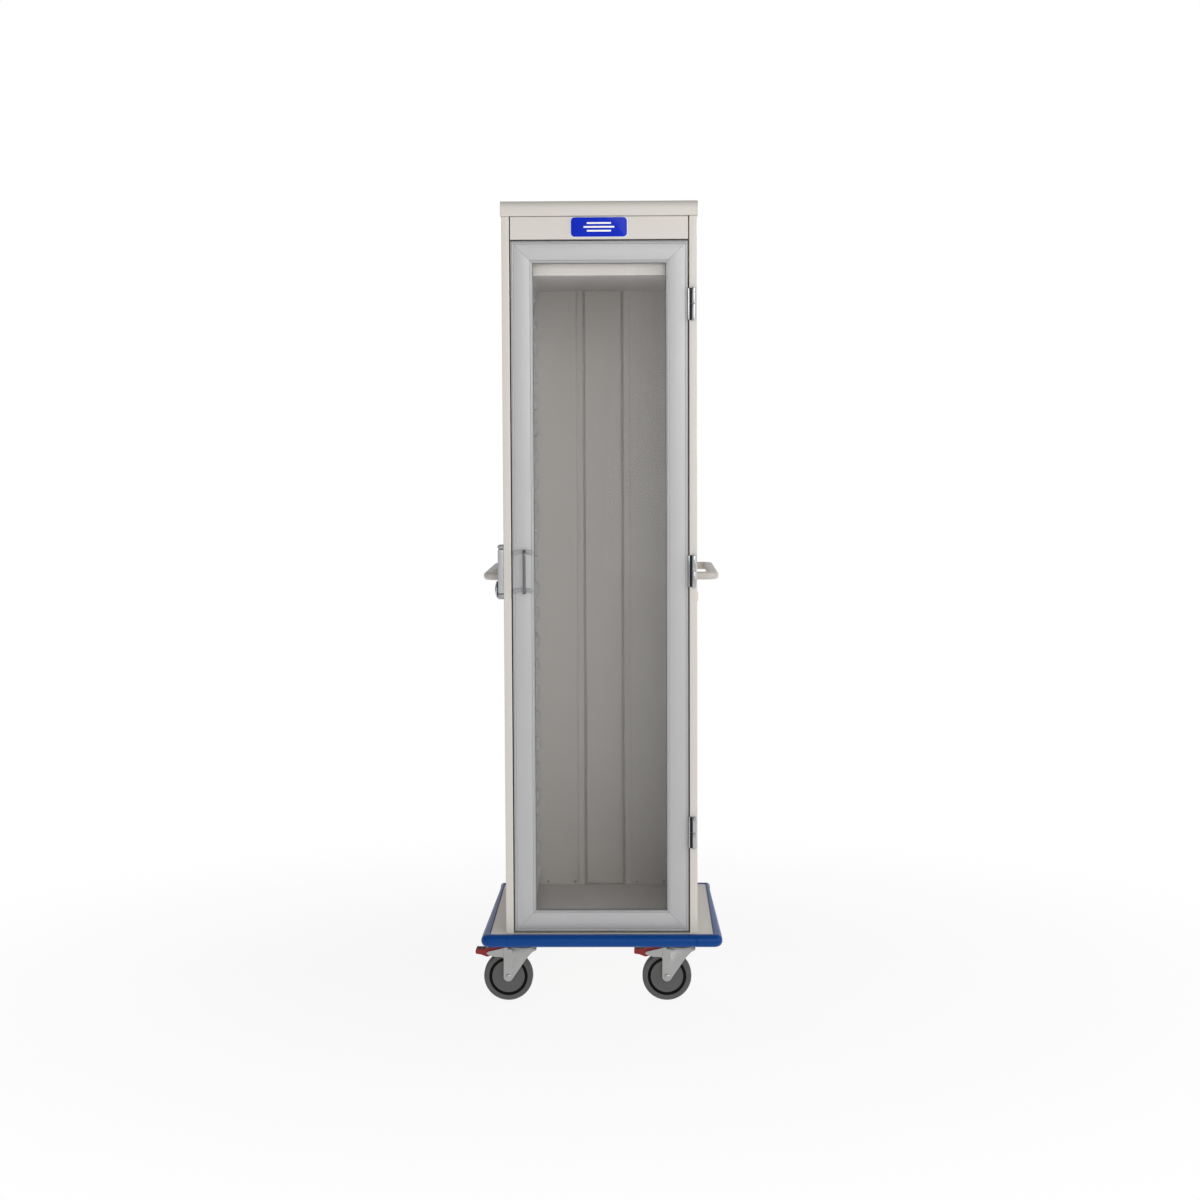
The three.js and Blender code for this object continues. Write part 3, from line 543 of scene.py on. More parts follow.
def rubber_tread(name, base):
    """Thermoplastic rubber moulded on a wheel: matt grey with a grain of 1.2 mm, and paler dust where
    the tread rolls, which is the raised part of a slow noise."""
    material, tree, shader, place = new_material(name, {"IOR": 1.5})
    mottled(tree, shader, place, base, 0.1, 45.0, 5.0)
    textured(tree, shader, noise(tree, place, 1.2), 0.62, 0.08, 0.3, 0.08)
    return material


def studio_paper(name, base, reach):
    """Seamless paper: pale and matt round the object, and as white as the backdrop further out."""
    material, tree, shader, place = new_material(name, {"Roughness": 0.95, "Base Color": base})
    away = add_node(tree, "ShaderNodeVectorMath", {"operation": "LENGTH"}, {0: place})
    fade = add_node(tree, "ShaderNodeMapRange", {"interpolation_type": "SMOOTHSTEP"}, {
        "Value": away.outputs["Value"], "From Min": reach * 0.12, "From Max": reach * 0.6,
        "To Min": 0.88})
    glow = add_node(tree, "ShaderNodeEmission", inputs={"Color": WHITE, "Strength": 1.0})
    mix = add_node(tree, "ShaderNodeMixShader", inputs={
        0: fade.outputs["Result"], 1: shader.outputs["BSDF"], 2: glow.outputs["Emission"]})
    output = next(node for node in tree.nodes if node.type == "OUTPUT_MATERIAL")
    tree.links.new(mix.outputs["Shader"], output.inputs["Surface"])
    return material


FINISHES = {}  # slot or finish to material


class CABINET_OT_finishes(bpy.types.Operator):
    """Makes every finish from the colours in the panel"""
    bl_idname = "cabinet.finishes"
    bl_label = "Finishes"

    def execute(self, context):
        c = context.scene.cabinet_colours
        FINISHES.update({
            "body_paint": powder_coat("powder_coated_steel_body", c.paint, roughness=0.4),
            "inner_paint": powder_coat("powder_coated_steel_inside", c.inner_paint, roughness=0.5),
            "anodised_aluminium": anodised_extrusion("anodised_aluminium_extrusion", c.aluminium),
            "door_glass": toughened_glass("toughened_float_glass"),
            "seal_rubber": moulded("extruded_rubber_seal", linear("#6E6E6D"), 0.6),
            # The runners are 1.45 times lighter than their colour: painted light on the runner walls,
            # which lie in the door stile's shade.
            "runner_plastic": moulded("moulded_abs_runners", tinted(c.runner, 1.45), 0.42,
                                      grain_mm=1.0),
            "satin_silver": silver_lacquer("silver_lacquered_casting", c.silver),
            # The silver at 0.3: painted shade for the door pull's grip, which stands where the pull's
            # slot lies in shade.
            "painted_shade_silver": silver_lacquer("painted_shade_lacquered_casting", tinted(c.silver, 0.3)),
            # The silver at 0.72: painted shade on the door pull's arched feet, and the darker tone of
            # the lock's end caps.
            "mid_silver": silver_lacquer("shaded_lacquered_casting", tinted(c.silver, 0.72)),
            "polished_steel": plated("polished_stainless_steel", linear("#B2B3B5"), 0.16,
                                     grain_mm=1.5, spread=0.03),
            # Near-black steel: painted shade on the hinge webs, which fill the shaded gap between the
            # leaf strip and the barrel.
            "painted_shade_leaf": plated("painted_shade_hinge_web", linear("#2C2C2D"), 0.45,
                                grain_mm=2.0, spread=0.05),
            "handle_paint": moulded("moulded_polyamide_grip", c.handle, 0.36, coat=0.1),
            "bumper_plastic": moulded("extruded_bumper_vinyl", c.bumper, 0.3,
                                      grain_mm=1.4, spread=0.04, shine=0.16),
            "badge_blue": resin_dome("resin_domed_badge", c.badge),
            "badge_print": moulded("badge_screen_print", linear("#F0F0EC"), 0.3,
                                   grain_mm=0.5, spread=0.02, coat=0.8),
            "zinc_steel": plated("zinc_plated_pressed_steel", linear("#A8A8A7"), 0.34,
                                 grain_mm=3.0, spread=0.09),
            "castor_tyre": rubber_tread("thermoplastic_rubber_tread", c.rubber),
            "castor_centre": moulded("polypropylene_wheel_centre", tinted(c.rubber, 1.05), 0.5,
                                     grain_mm=1.0, spread=0.04),
            # Near-black: painted shade on the ring that fills each wheel's groove between tread and
            # centre.
            "painted_shade_groove": moulded("black_thread_guard", linear("#070707"), 0.6, shine=0.1),
            "pedal_red": moulded("moulded_nylon_pedal", c.pedal, 0.42, grain_mm=0.8, spread=0.08),
            "pedal_dark": moulded("moulded_nylon_pedal_tread", linear("#4A2A2A"), 0.55,
                                  grain_mm=0.8, spread=0.1),
        })
        return {"FINISHED"}


# ---- the body ------------------------------------------------------------------------------------

BODY_HALF, BODY_BACK = (BODY_HIGH[0] - ORIGIN[0]) / MM, (BODY_HIGH[1] - ORIGIN[1]) / MM
RETURN_HALF = -span("left_side_panel")[1][0]  # where the side panels' front returns end
LIP_DEPTH = 28.0  # how far back the lip behind a return reaches
FLOOR_TOP = span("floor_panel")[1][2]
BACK_WALL = span("back_channel_cover")[0][1]
BACK_STEP = (74.5, 1.6)  # where the back wall steps forward, and by how much
CHANNEL_HALF = 55.5  # half the width of the channel in the back wall


class CABINET_OT_top_cap(bpy.types.Operator):
    """Pressed cap: one sheet rolled over the front and the back and turned in beneath, carried from side
    to side, with a flat end plate of the same outline on each side"""
    bl_idname = "cabinet.top_cap"
    bl_label = "Top cap"

    def execute(self, context):
        low, high = span("top_cap")
        roll, edge = size("cap_round"), 0.8
        lip, thick, end, overlap = 7.6, 2.5, 3.0, 0.2
        sheet = [(low[1] + lip, low[2]), (low[1], low[2]), (low[1], high[2]), (high[1], high[2]),
                 (high[1], low[2]), (high[1] - lip, low[2])]
        section = folded_section(sheet[::-1], [0, edge, roll, roll, edge, 0], thick)
        outline = rounded_outline(rectangle(low[1], high[1], low[2], high[2]),
                                  [edge, edge, roll, roll], 12)
        parts = [straight(section, 0, low[0] + end - overlap, high[0] - end + overlap),
                 straight(outline, 0, low[0], low[0] + end),
                 straight(outline, 0, high[0] - end, high[0])]
        finished("top_cap_pressing", "cabinet", "body_paint", parts, ["top_cap"], bevel=1.2)
        return {"FINISHED"}


class CABINET_OT_body_panels(bpy.types.Operator):
    """Folded side panels and the header fascia: a bent section carried up, or across, the cabinet"""
    bl_idname = "cabinet.body_panels"
    bl_label = "Body panels"

    def execute(self, context):
        line = [(RETURN_HALF, LIP_DEPTH), (RETURN_HALF, 0), (BODY_HALF, 0), (BODY_HALF, BODY_BACK),
                (RETURN_HALF, BODY_BACK)]
        bolt_low, bolt_high = span("lock_bolt")
        knob_low, knob_high = span("lock_knob")
        knob, spindle = (knob_low + knob_high) / 2, 6.7
        for name, sign in SIDES.items():
            low, high = span(f"{name}_side_panel")
            fold = [(sign * x, y) for x, y in line]
            section = folded_section(fold if sign > 0 else fold[::-1])
            holes = []
            if sign < 0:
                room = np.array([0, 1, 1])
                holes = [box_part(bolt_low * (0, 1, 1) - room + (-BODY_HALF - 2, 0, 0),
                                  bolt_high * (0, 1, 1) + room - (RETURN_HALF - 2, 0, 0)),
                         turned([(spindle, -4), (spindle, 4)], (-BODY_HALF + 1, knob[1], knob[2]),
                                (1, 0, 0))]
            finished(f"{name}_side_panel_folded", "cabinet", "body_paint",
                     [straight(section, 2, low[2], high[2])], [f"{name}_side_panel"], holes=holes)
        low, high = span("header_fascia")
        joint = 2.6
        low[0], high[0] = -RETURN_HALF + joint, RETURN_HALF - joint
        section = folded_section([(high[1], high[2]), (low[1], high[2]),
                                  (low[1], low[2]), (high[1], low[2])])
        finished("header_fascia_folded", "cabinet", "body_paint",
                 [straight(section, 0, low[0], high[0])], ["header_fascia"], bevel=0.4)
        return {"FINISHED"}


class CABINET_OT_badge(bpy.types.Operator):
    """Domed badge on a pale backing, with a generic print of bars, like stacked trays, over the dome"""
    bl_idname = "cabinet.badge"
    bl_label = "Badge"

    def execute(self, context):
        low, high = span("name_badge")
        dome, edge = size("badge_dome"), 1.2
        half, centre = (high - low) / 2, (low + high) / 2
        face = rounded_box(low, high, 1, 9, edge, 0.3, steps=7, dome=dome, facing=-1)
        finished("badge_dome", "cabinet", "badge_blue", [face], ["name_badge"])

        def over_dome(x, z, lift):
            """Y of a skin over the dome: dome (1 - s^2) in front of its rim, and lift further."""
            inset = np.minimum(half[0] - abs(x), half[2] - abs(z))
            share = np.clip(1 - (inset - edge) / (half[2] - edge), 0, 1)
            return low[1] - dome * (1 - share ** 2) - lift

        def label(x, z):
            """A closed skin 0.2 mm thick over the dome, from grids of x and z."""
            near = np.stack([x + centre[0], over_dome(x, z, 0.12), z + centre[2]], axis=-1)
            far = near + (0, 0.2, 0)
            return grid_part(np.concatenate([near, far[:, ::-1]], axis=1))

        bars = []
        for z, reach in ((9.5, 30.0), (0.0, 38.0), (-9.5, 30.0)):
            x, across = np.meshgrid(np.linspace(-reach, reach, 40), np.linspace(-2.1, 2.1, 6),
                                    indexing="ij")
            bars.append(label(x, across + z))
        edge_low, edge_high = low - (1.3, 0, 1.3), high + (1.3, 0, 1.3)
        edge_low[1] = high[1] - 0.7
        backing = rounded_box(edge_low, edge_high, 1, 10, 0.3, 0.1, steps=5, facing=-1)
        finished("badge_print", "cabinet", "badge_blue", bars + [backing], finish="badge_print")
        return {"FINISHED"}


class CABINET_OT_inner_panels(bpy.types.Operator):
    """Back panel with its channel and gentle step, the channel's cover, the ceiling, the floor, and the
    screws at the foot of the back wall"""
    bl_idname = "cabinet.inner_panels"
    bl_label = "Inner panels"

    def execute(self, context):
        low, high = span("back_panel")
        crease, step = BACK_STEP
        floor_channel = BACK_WALL + 12
        right = [(CHANNEL_HALF, floor_channel), (CHANNEL_HALF, BACK_WALL - step),
                 (crease - step, BACK_WALL - step), (crease, BACK_WALL), (high[0], BACK_WALL)]
        line = [(-x, y) for x, y in right[::-1]] + right
        bends = [0, 3, 6, 1.6, 1.2]
        section = folded_section(line, bends + bends[::-1])
        finished("back_panel_folded", "cabinet", "inner_paint",
                 [straight(section, 2, low[2], high[2])], ["back_panel"])

        low, high = span("back_channel_cover")
        line = [(low[0], high[1]), (low[0], low[1]), (high[0], low[1]), (high[0], high[1])]
        slots = []
        for sign in SIDES.values():
            x0, x1 = sorted((sign * 15.0, sign * 49.0))
            slots.append(box_part(np.array([x0, low[1] - 1, low[2] - 1]),
                                  np.array([x1, low[1] + 3, low[2] + 3.7])))
        finished("back_channel_cover_folded", "cabinet", "inner_paint",
                 [straight(folded_section(line), 2, low[2], high[2])],
                 ["back_channel_cover"], holes=slots)

        low, high = span("ceiling_panel")
        section = folded_section([(low[1], high[2]), (low[1], low[2]),
                                  (high[1], low[2]), (high[1], low[2] + 40)])
        finished("ceiling_panel_folded", "cabinet", "inner_paint",
                 [straight(section, 0, low[0], high[0])], ["ceiling_panel"])

        low, high = span("floor_panel")
        finished("floor_panel_sheet", "cabinet", "inner_paint",
                 [rounded_box(low, high, 2, 1, 1.5, 0.4)], ["floor_panel"])
        screws = [screw_head((x, BACK_WALL, FLOOR_TOP + 7.0), (0, -1, 0), size("screw"), 2.0)
                  for x in (-159.0, -84.0, 90.0, 165.0)]
        finished("back_wall_screws", "cabinet", "inner_paint", screws, finish="zinc_steel")
        return {"FINISHED"}


class CABINET_OT_tray_runners(bpy.types.Operator):
    """Moulded runner walls: a sheet bent in and out 23 times, carried from the front to the back, with a
    closed stop at the front of each band. Each band has a flat top, an upright tip and a sloping
    underside; a tray rim lies between two bands"""
    bl_idname = "cabinet.tray_runners"
    bl_label = "Tray runners"

    def execute(self, context):
        count, band, slope, wall, stop, bend = 23, 42.0, 11.0, 2.4, 1.6, 1.3
        for name, sign in SIDES.items():
            low, high = span(f"{name}_tray_runners")
            tip = min(abs(low[0]), abs(high[0]))
            root = max(abs(low[0]), abs(high[0])) - wall
            pitch = (high[2] - low[2] - band) / (count - 1)
            foot = low[2] + pitch * np.arange(count)
            face = np.array([(root, -1), (tip, slope), (tip, band), (root, band)]) * (sign, 1)
            faces = [face + (0, z) for z in foot]
            line = np.concatenate(faces)[1:-1]
            section = folded_section(line if sign < 0 else line[::-1], bend, wall)
            stops = [straight(outline, 1, low[1], low[1] + stop) for outline in faces]
            finished(f"{name}_tray_runners_moulded", "cabinet", "runner_plastic",
                     [straight(section, 1, low[1], high[1])] + stops, [f"{name}_tray_runners"])
        return {"FINISHED"}


# ---- the door ------------------------------------------------------------------------------------

DOOR_HALF = -span("door_frame_left")[0][0]
DOOR_LOW, DOOR_HIGH = span("door_frame_left")[0][2], span("door_frame_left")[1][2]
DOOR_BACK = span("door_frame_left")[1][1]
MEMBER = DOOR_HALF + span("door_frame_left")[1][0]  # width of a door member


class CABINET_OT_door_frame(bpy.types.Operator):
    """Four mitred members. The front of a member is a crown, crown (2u / width - 1)^2 behind its middle,
    with a raised bead between two grooves near each edge; its ends follow u at 45 degrees"""
    bl_idname = "cabinet.door_frame"
    bl_label = "Door frame"

    def execute(self, context):
        crown, bead, groove = size("crown"), size("bead"), size("groove")
        seam, (rebate, front, rear) = 0.25, (9, 9, 17)
        u = np.concatenate([np.linspace(0, 9, 28), np.linspace(9.6, MEMBER - 9.6, 25),
                            np.linspace(MEMBER - 9, MEMBER, 28)])
        edge = np.minimum(u, MEMBER - u)
        v = crown * (2 * u / MEMBER - 1) ** 2
        for middle in (2.2, 6.6):
            v = v + groove * np.exp(-((edge - middle) / 0.55) ** 2)
        v = v - 0.5 * np.exp(-((edge - 4.4) / (bead / 2)) ** 4)
        v = v + np.exp(-(edge / 0.5) ** 2)
        back = rounded_outline([(MEMBER, front), (MEMBER - rebate, front), (MEMBER - rebate, rear),
                                (MEMBER, rear), (MEMBER, DOOR_BACK), (0, DOOR_BACK), (0, 12)],
                               [0.5, 0, 0, 0.5, 1.2, 1.2, 0], 4)
        section = np.concatenate([np.stack([u, v], -1), back])
        wide, tall = 2 * DOOR_HALF, DOOR_HIGH - DOOR_LOW
        members = {
            "bottom": (wide, lambda u, v, s: (DOOR_HALF - s, v, DOOR_LOW + u)),
            "top": (wide, lambda u, v, s: (-DOOR_HALF + s, v, DOOR_HIGH - u)),
            "left": (tall, lambda u, v, s: (-DOOR_HALF + u, v, DOOR_LOW + s)),
            "right": (tall, lambda u, v, s: (DOOR_HALF - u, v, DOOR_HIGH - s)),
        }
        bolt_low, bolt_high = span("lock_bolt")
        strike = box_part(np.array([-DOOR_HALF - 2, bolt_low[1] - 1, bolt_low[2] - 1]),
                          np.array([-DOOR_HALF + 14, bolt_high[1] + 1, bolt_high[2] + 1]))
        for name, (length_mm, place) in members.items():
            mitre = section[:, 0] + seam
            share = np.linspace(0, 1, 5)[:, None]
            along = mitre + (length_mm - 2 * mitre) * share
            sides = np.broadcast_arrays(section[:, 0], section[:, 1], along)
            points = np.stack(np.broadcast_arrays(*place(*sides)), axis=-1)
            finished(f"door_frame_{name}_extrusion", "door", "anodised_aluminium",
                     [grid_part(points, run=True)], [f"door_frame_{name}"],
                     holes=[strike] if name == "left" else ())
        return {"FINISHED"}


class CABINET_OT_door_glazing(bpy.types.Operator):
    """The pane with ground edges, and its seal: a small section carried round the opening, mitred"""
    bl_idname = "cabinet.door_glazing"
    bl_label = "Door glazing"

    def execute(self, context):
        low, high = span("door_glass")
        finished("door_glass_pane", "door", "door_glass",
                 [rounded_box(low, high, 1, 2, 0.6, 0.6, steps=4)], ["door_glass"])
        low, high = span("door_glazing_seal")
        section = rounded_outline(rectangle(0, 8.5, low[1], high[1]), 0.9, 5)
        corners = np.array([(low[0], low[2]), (high[0], low[2]), (high[0], high[2]), (low[0], high[2])])
        inward = np.array([(1, 1), (-1, 1), (-1, -1), (1, -1)])
        flat = corners[:, None] + section[None, :, :1] * inward[:, None]
        depth = np.broadcast_to(section[None, :, 1], flat.shape[:2])
        seal = grid_part(np.stack([flat[..., 0], depth, flat[..., 1]], axis=-1), loop=True)
        finished("door_seal_extrusion", "door", "seal_rubber", [seal], ["door_glazing_seal"])
        return {"FINISHED"}


class CABINET_OT_door_pull(bpy.types.Operator):
    """Upright grip, a rounded section carried along a bow, on two arched feet: each foot is a band
    carried along the arch rise (1 - t^2) across the door's left member"""
    bl_idname = "cabinet.door_pull"
    bl_label = "Door pull"

    def execute(self, context):
        low, high = span("door_pull_handle")
        middle = (low[0] + high[0]) / 2
        rise, foot, wide, half = 5.0, 10.0, 7.3, 3.5
        grip_x = -190.0
        bow, left = bent_line([(high[1], low[2] + half), (low[1] + half, low[2] + half),
                               (low[1] + half, high[2] - half), (high[1], high[2] - half)], 9, steps=8)
        stations = np.stack([np.full(len(bow), grip_x), bow[:, 0], bow[:, 1]], axis=-1)
        across = np.stack([np.zeros(len(bow)), left[:, 0], left[:, 1]], axis=-1)
        section = rounded_outline(rectangle(-half, half, -wide / 2, wide / 2), 1.6, 5)
        grip = carried(section, stations, across, (1, 0, 0))
        feet = []
        for base in (low[2], high[2] - foot - rise):
            t = np.linspace(-1, 1, 15)
            x = middle + t * (high[0] - low[0]) / 2
            z = base + foot / 2 + rise * (1 - t ** 2)
            slope = np.gradient(z, x)
            up = np.stack([-slope, np.zeros(15), np.ones(15)], -1) / np.sqrt(1 + slope ** 2)[:, None]
            band = rounded_outline(rectangle(-3.0, -GAP, -foot / 2, foot / 2), 1.1, 5)
            path = np.stack([x, np.zeros(15), z], axis=-1)
            feet.append(carried(band, path, (0, 1, 0), up))
        # The grip takes the darkest silver: painted shade standing for the pull's shaded slot.
        finished("door_pull_grip", "door", "satin_silver", [grip], ["door_pull_handle"],
                 finish="painted_shade_silver")
        # The feet take a darker silver: painted shade on their arched faces, which turn outwards and
        # downwards.
        finished("door_pull_feet", "door", "satin_silver", feet, finish="mid_silver", bevel=0.8)
        return {"FINISHED"}


class CABINET_OT_hinges(bpy.types.Operator):
    """Lift-off barrel hinges: turned knuckles with rounded ends and end caps, leaves and screws"""
    bl_idname = "cabinet.hinges"
    bl_label = "Hinges"

    def execute(self, context):
        x, y, radius, up = 234.5, -8.0, 5.0, (0, 0, 1)
        end = np.concatenate([[(AXIS_END, 0)], arc((radius - 1, 1), 1, -90, 0, 5)])
        cap = [(AXIS_END, 0), (2.6, 0), (3.4, 0.5), (3.4, 1.1), (2.4, 1.8), (AXIS_END, 2.1)]
        plug = [(AXIS_END, -1.4), (2.4, -1.2), (3.4, -0.6), (3.4, 0.2), (AXIS_END, 0.2)]
        pin = [(2.2, -10), (2.2, 30)]

        def knuckle(z0, z1):
            """A barrel from z0 to z1 on the hinge's axis, with a bead round each end."""
            top = (end * (1, -1) + (0, z1 - z0))[::-1]
            return turned(np.concatenate([end, top]), (x, y, z0), up)

        for name in HINGES:
            foot, head = span(f"{name}_hinge_frame_leaf")[0][2], span(f"{name}_hinge_door_leaf")[1][2]
            middle = (foot + head) / 2
            frame_parts = [
                knuckle(foot, middle - GAP / 2), turned(plug, (x, y, foot), up),
                turned(pin, (x, y, middle), up),
                rounded_box((x - 5, -2.5, foot), (x + 5.5, -GAP, head), 1, 1.5, 0.2, 0.8, facing=1),
                rounded_box((x - 1, y, foot + 0.3), (x + 3, -2.2, middle - 0.6), 2, 1, 0.5, 0.5)]
            frame_parts += [screw_head((x + 0.5, -2.4, middle + offset), (0, -1, 0), 3.0, 1.2)
                            for offset in (12.0, 30.0)]
            door_parts = [
                knuckle(middle + GAP / 2, head), turned(cap, (x, y, middle + 40 - 0.2), up),
                rounded_box((DOOR_HALF + GAP, y + 3.5, foot), (DOOR_HALF + 3.1, 24, head),
                            0, 2, 0.5, 0.2)]
            # Each web is near-black: painted shade in the gap between the leaf strip and the barrel.
            for body, edge, low_z, high_z in (("cabinet", 3.4, foot + 0.3, middle - 0.6),
                                              ("door", 0.8, middle + 0.6, head - 0.3)):
                web = rounded_box((DOOR_HALF + edge, y + 4.0, low_z), (x, y + 6.0, high_z),
                                  2, 0.8, 0.5, 0.5)
                finished(f"{name}_hinge_{body}_web", body, "polished_steel", [web], finish="painted_shade_leaf")
            finished(f"{name}_hinge_frame_side", "cabinet", "polished_steel", frame_parts,
                     [f"{name}_hinge_frame_leaf"])
            finished(f"{name}_hinge_door_side", "door", "polished_steel", door_parts,
                     [f"{name}_hinge_door_leaf"])
        return {"FINISHED"}


# ---- the lock and the push handles ---------------------------------------------------------------


class CABINET_OT_lock(bpy.types.Operator):
    """Surface lock: a rounded housing between two darker end caps, a lens-shaped turning knob, a flat
    bolt with a rounded tip, and the small cover low on the other side panel"""
    bl_idname = "cabinet.lock"
    bl_label = "Lock"

    def execute(self, context):
        low, high = span("lock_housing")
        foot, head, proud = 14.0, 10.0, 0.5
        ends = [(low - (proud, proud, 0), np.array([high[0], high[1] + proud, low[2] + foot])),
                (np.array([low[0] - proud, low[1] - proud, high[2] - head]), high + (0, proud, 0))]
        finished("lock_end_caps", "cabinet", "satin_silver",
                 [rounded_box(*corners, 0, 4, 0.3, 4) for corners in ends], finish="mid_silver")
        finished("lock_housing", "cabinet", "satin_silver",
                 [rounded_box(low + (0, 0, foot + GAP), high - (0, 0, head + GAP), 0, 2.5, 0.3, 4)],
                 ["lock_housing"])
        low, high = span("lock_knob")
        radius = (high - low)[2] / 2
        centre = (low + high) / 2
        face = span("lock_housing")[0][0] - GAP - low[0]
        rim = arc((radius - 1.2, 3.0), 1.2, -90, 40, 6)
        crown = arc((0, face - radius * 2.4), radius * 2.4, 68, 89.8, 10)
        crown[:, 1] += face - crown[-1, 1]
        crown = crown[crown[:, 0] < radius - 2]
        spindle = [(AXIS_END, -12), (5.2, -12), (5.2, 0), (radius - 3, 0)]
        profile = np.concatenate([spindle, rim, crown])
        finished("lock_knob_turned", "lock_knob", "polished_steel",
                 [turned(profile, (low[0] + face, centre[1], centre[2]), (-1, 0, 0))], ["lock_knob"])
        low, high = span("lock_bolt")
        finished("lock_bolt_ground", "lock_bolt", "polished_steel",
                 [rounded_box(low, high, 0, 1.0, 1.6, 0.5)], ["lock_bolt"])
        cover_low = np.array([span("right_side_panel")[1][0] - 0.5, 30.0, 1023.0])
        cover_size = (3.5, 25.0, 23.0)
        finished("right_side_cover", "cabinet", "body_paint",
                 [rounded_box(cover_low, cover_low + cover_size, 0, 3, 1.2, 0.2)])
        return {"FINISHED"}


class CABINET_OT_push_handles(bpy.types.Operator):
    """Side push handles: a rounded section carried out, along and back in, with wide bends"""
    bl_idname = "cabinet.push_handles"
    bl_label = "Push handles"

    def execute(self, context):
        for name, sign in SIDES.items():
            low, high = span(f"{name}_push_handle")
            wide, tall, bend = 24.0, (high - low)[2], 26
            out = max(abs(low[0]), abs(high[0])) - wide / 2
            seat = min(abs(low[0]), abs(high[0]))
            near, far = low[1] + wide / 2, high[1] - wide / 2
            path, left = bent_line([(seat, near), (out, near), (out, far), (seat, far)], bend, steps=14)
            zero = np.zeros(len(path))
            stations = np.stack([sign * path[:, 0], path[:, 1], zero + (low[2] + high[2]) / 2], axis=-1)
            across = np.stack([sign * left[:, 0], left[:, 1], zero], axis=-1)
            section = rounded_outline(rectangle(-wide / 2, wide / 2, -tall / 2, tall / 2), 8, 8)
            finished(f"{name}_push_handle_moulded", "cabinet", "handle_paint",
                     [carried(section, stations, across, (0, 0, 1))], [f"{name}_push_handle"])
        return {"FINISHED"}


# ---- the base ------------------------------------------------------------------------------------


class CABINET_OT_base(bpy.types.Operator):
    """Folded base pan, rings round its hollow and its outside, with two welded castor channels"""
    bl_idname = "cabinet.base"
    bl_label = "Base"

    def execute(self, context):
        low, high = span("base_plate")
        tall, edge, thick, reach = 26.0, 2.5, 3.0, 48
        pan_low = np.array([low[0], low[1], high[2] - tall])
        quarter = np.radians(np.linspace(0, 90, 6))
        head = np.stack([edge * (1 - np.cos(quarter)), tall - edge * (1 - np.sin(quarter))], axis=-1)
        rings = [(60, tall - thick), (4, tall - thick), (thick, tall - 4), (thick, 0.3), (2.7, 0),
                 (0.3, 0), (0, 0.3)]
        pan = ringed_box(pan_low, high, 2, 4, np.concatenate([rings, head]), steps=6)
        channels = []
        for name in ("front_left", "rear_left"):
            mount_low, mount_high = span(f"{name}_castor_mount")
            y, foot = (mount_low[1] + mount_high[1]) / 2, mount_high[2] + 0.4
            line = [(y + reach, high[2] - thick), (y + reach, foot), (y - reach, foot),
                    (y - reach, high[2] - thick)]
            section = folded_section(line[::-1], 1.5, thick)
            channels.append(straight(section, 0, low[0] + 8, high[0] - 8))
        finished("base_pan", "cabinet", "body_paint", [pan] + channels, ["base_plate"])
        return {"FINISHED"}


class CABINET_OT_bumpers(bpy.types.Operator):
    """Bumper rails and corner mouldings: a full, rounded section, out by deep |cos a|^0.7 and up by
    half the height times sin a, is carried straight along a side, or turned about a corner"""
    bl_idname = "cabinet.bumpers"
    bl_label = "Bumpers"

    def execute(self, context):
        low, high = span("bumper_front")
        plate_low, plate_high = span("base_plate")
        deep = plate_low[1] - low[1] - GAP
        foot, tall = low[2], (high - low)[2]
        angle = np.radians(np.linspace(-90, 90, 25))
        section = np.stack([GAP + deep * np.abs(np.cos(angle)) ** 0.7,
                            foot + tall / 2 + tall / 2 * np.sin(angle)], -1)
        section = np.concatenate([section[1:-1], rounded_outline(
            [section[-2], (GAP, foot + tall), (GAP, foot), section[1]], [0, 0.8, 0.8, 0], 4)[1:-1]])

        def thinned(y):
            """Share of the section's depth that the side rails have at y: it falls evenly from the front
            to under half at the back."""
            return np.interp(y, [plate_low[1] + 40, plate_high[1]], [0.93, 0.42])

        for name, direction in (("front", (0, -1, 0)), ("rear", (0, 1, 0)),
                                ("left", (-1, 0, 0)), ("right", (1, 0, 0))):
            low, high = span(f"bumper_{name}")
            out = np.array(direction, float)
            edge = np.where(out > 0, plate_high, np.where(out < 0, plate_low, 0)) * (1, 1, 0)
            run = 0 if direction[0] == 0 else 1
            ends = np.array([low[run], low[run] + 1.2, high[run] - 1.2, high[run]])
            stations = np.tile(edge, (4, 1))
            stations[:, run] = ends
            share = thinned(ends) if run else np.ones(4)
            finished(f"bumper_{name}_rail", "cabinet", "bumper_plastic",
                     [carried(section, stations, out * share[:, None], (0, 0, 1))],
                     [f"bumper_{name}"], bevel=0.5)
        turn = np.radians(np.linspace(0, 90, 19))
        for end, y_sign in (("front", -1.0), ("rear", 1.0)):
            for side, x_sign in SIDES.items():
                name = f"bumper_corner_{end}_{side}"
                low, high = span(name)
                corner = np.array([plate_high[0] if x_sign > 0 else plate_low[0],
                                   plate_high[1] if y_sign > 0 else plate_low[1], 0.0])
                reach = (high - low)[0] - deep - GAP
                stations = np.concatenate([[corner - (0, y_sign * reach, 0)], np.tile(corner, (19, 1)),
                                           [corner - (x_sign * reach, 0, 0)]])
                way = np.concatenate([[0], turn, [math.pi / 2]])
                across = np.stack([x_sign * np.cos(way), y_sign * np.sin(way), np.zeros(21)], axis=-1)
                share = thinned(stations[0, 1])
                across *= (share + (1 - share) * np.sin(way) ** 2)[:, None]
                finished(f"{name}_moulding", "cabinet", "bumper_plastic",
                         [carried(section, stations, across, (0, 0, 1))], [name], bevel=0.5)
        return {"FINISHED"}


# ---- the castors ---------------------------------------------------------------------------------

TRAIL = 37.3  # how far the axle lies behind the swivel axis
AXLE_HIGH = 62.5


def castor_centre(name):
    """Where a castor's swivel axis meets the floor."""
    low, high = span(f"{name}_mount")
    return np.array([(low[0] + high[0]) / 2, (low[1] + high[1]) / 2, 0.0])


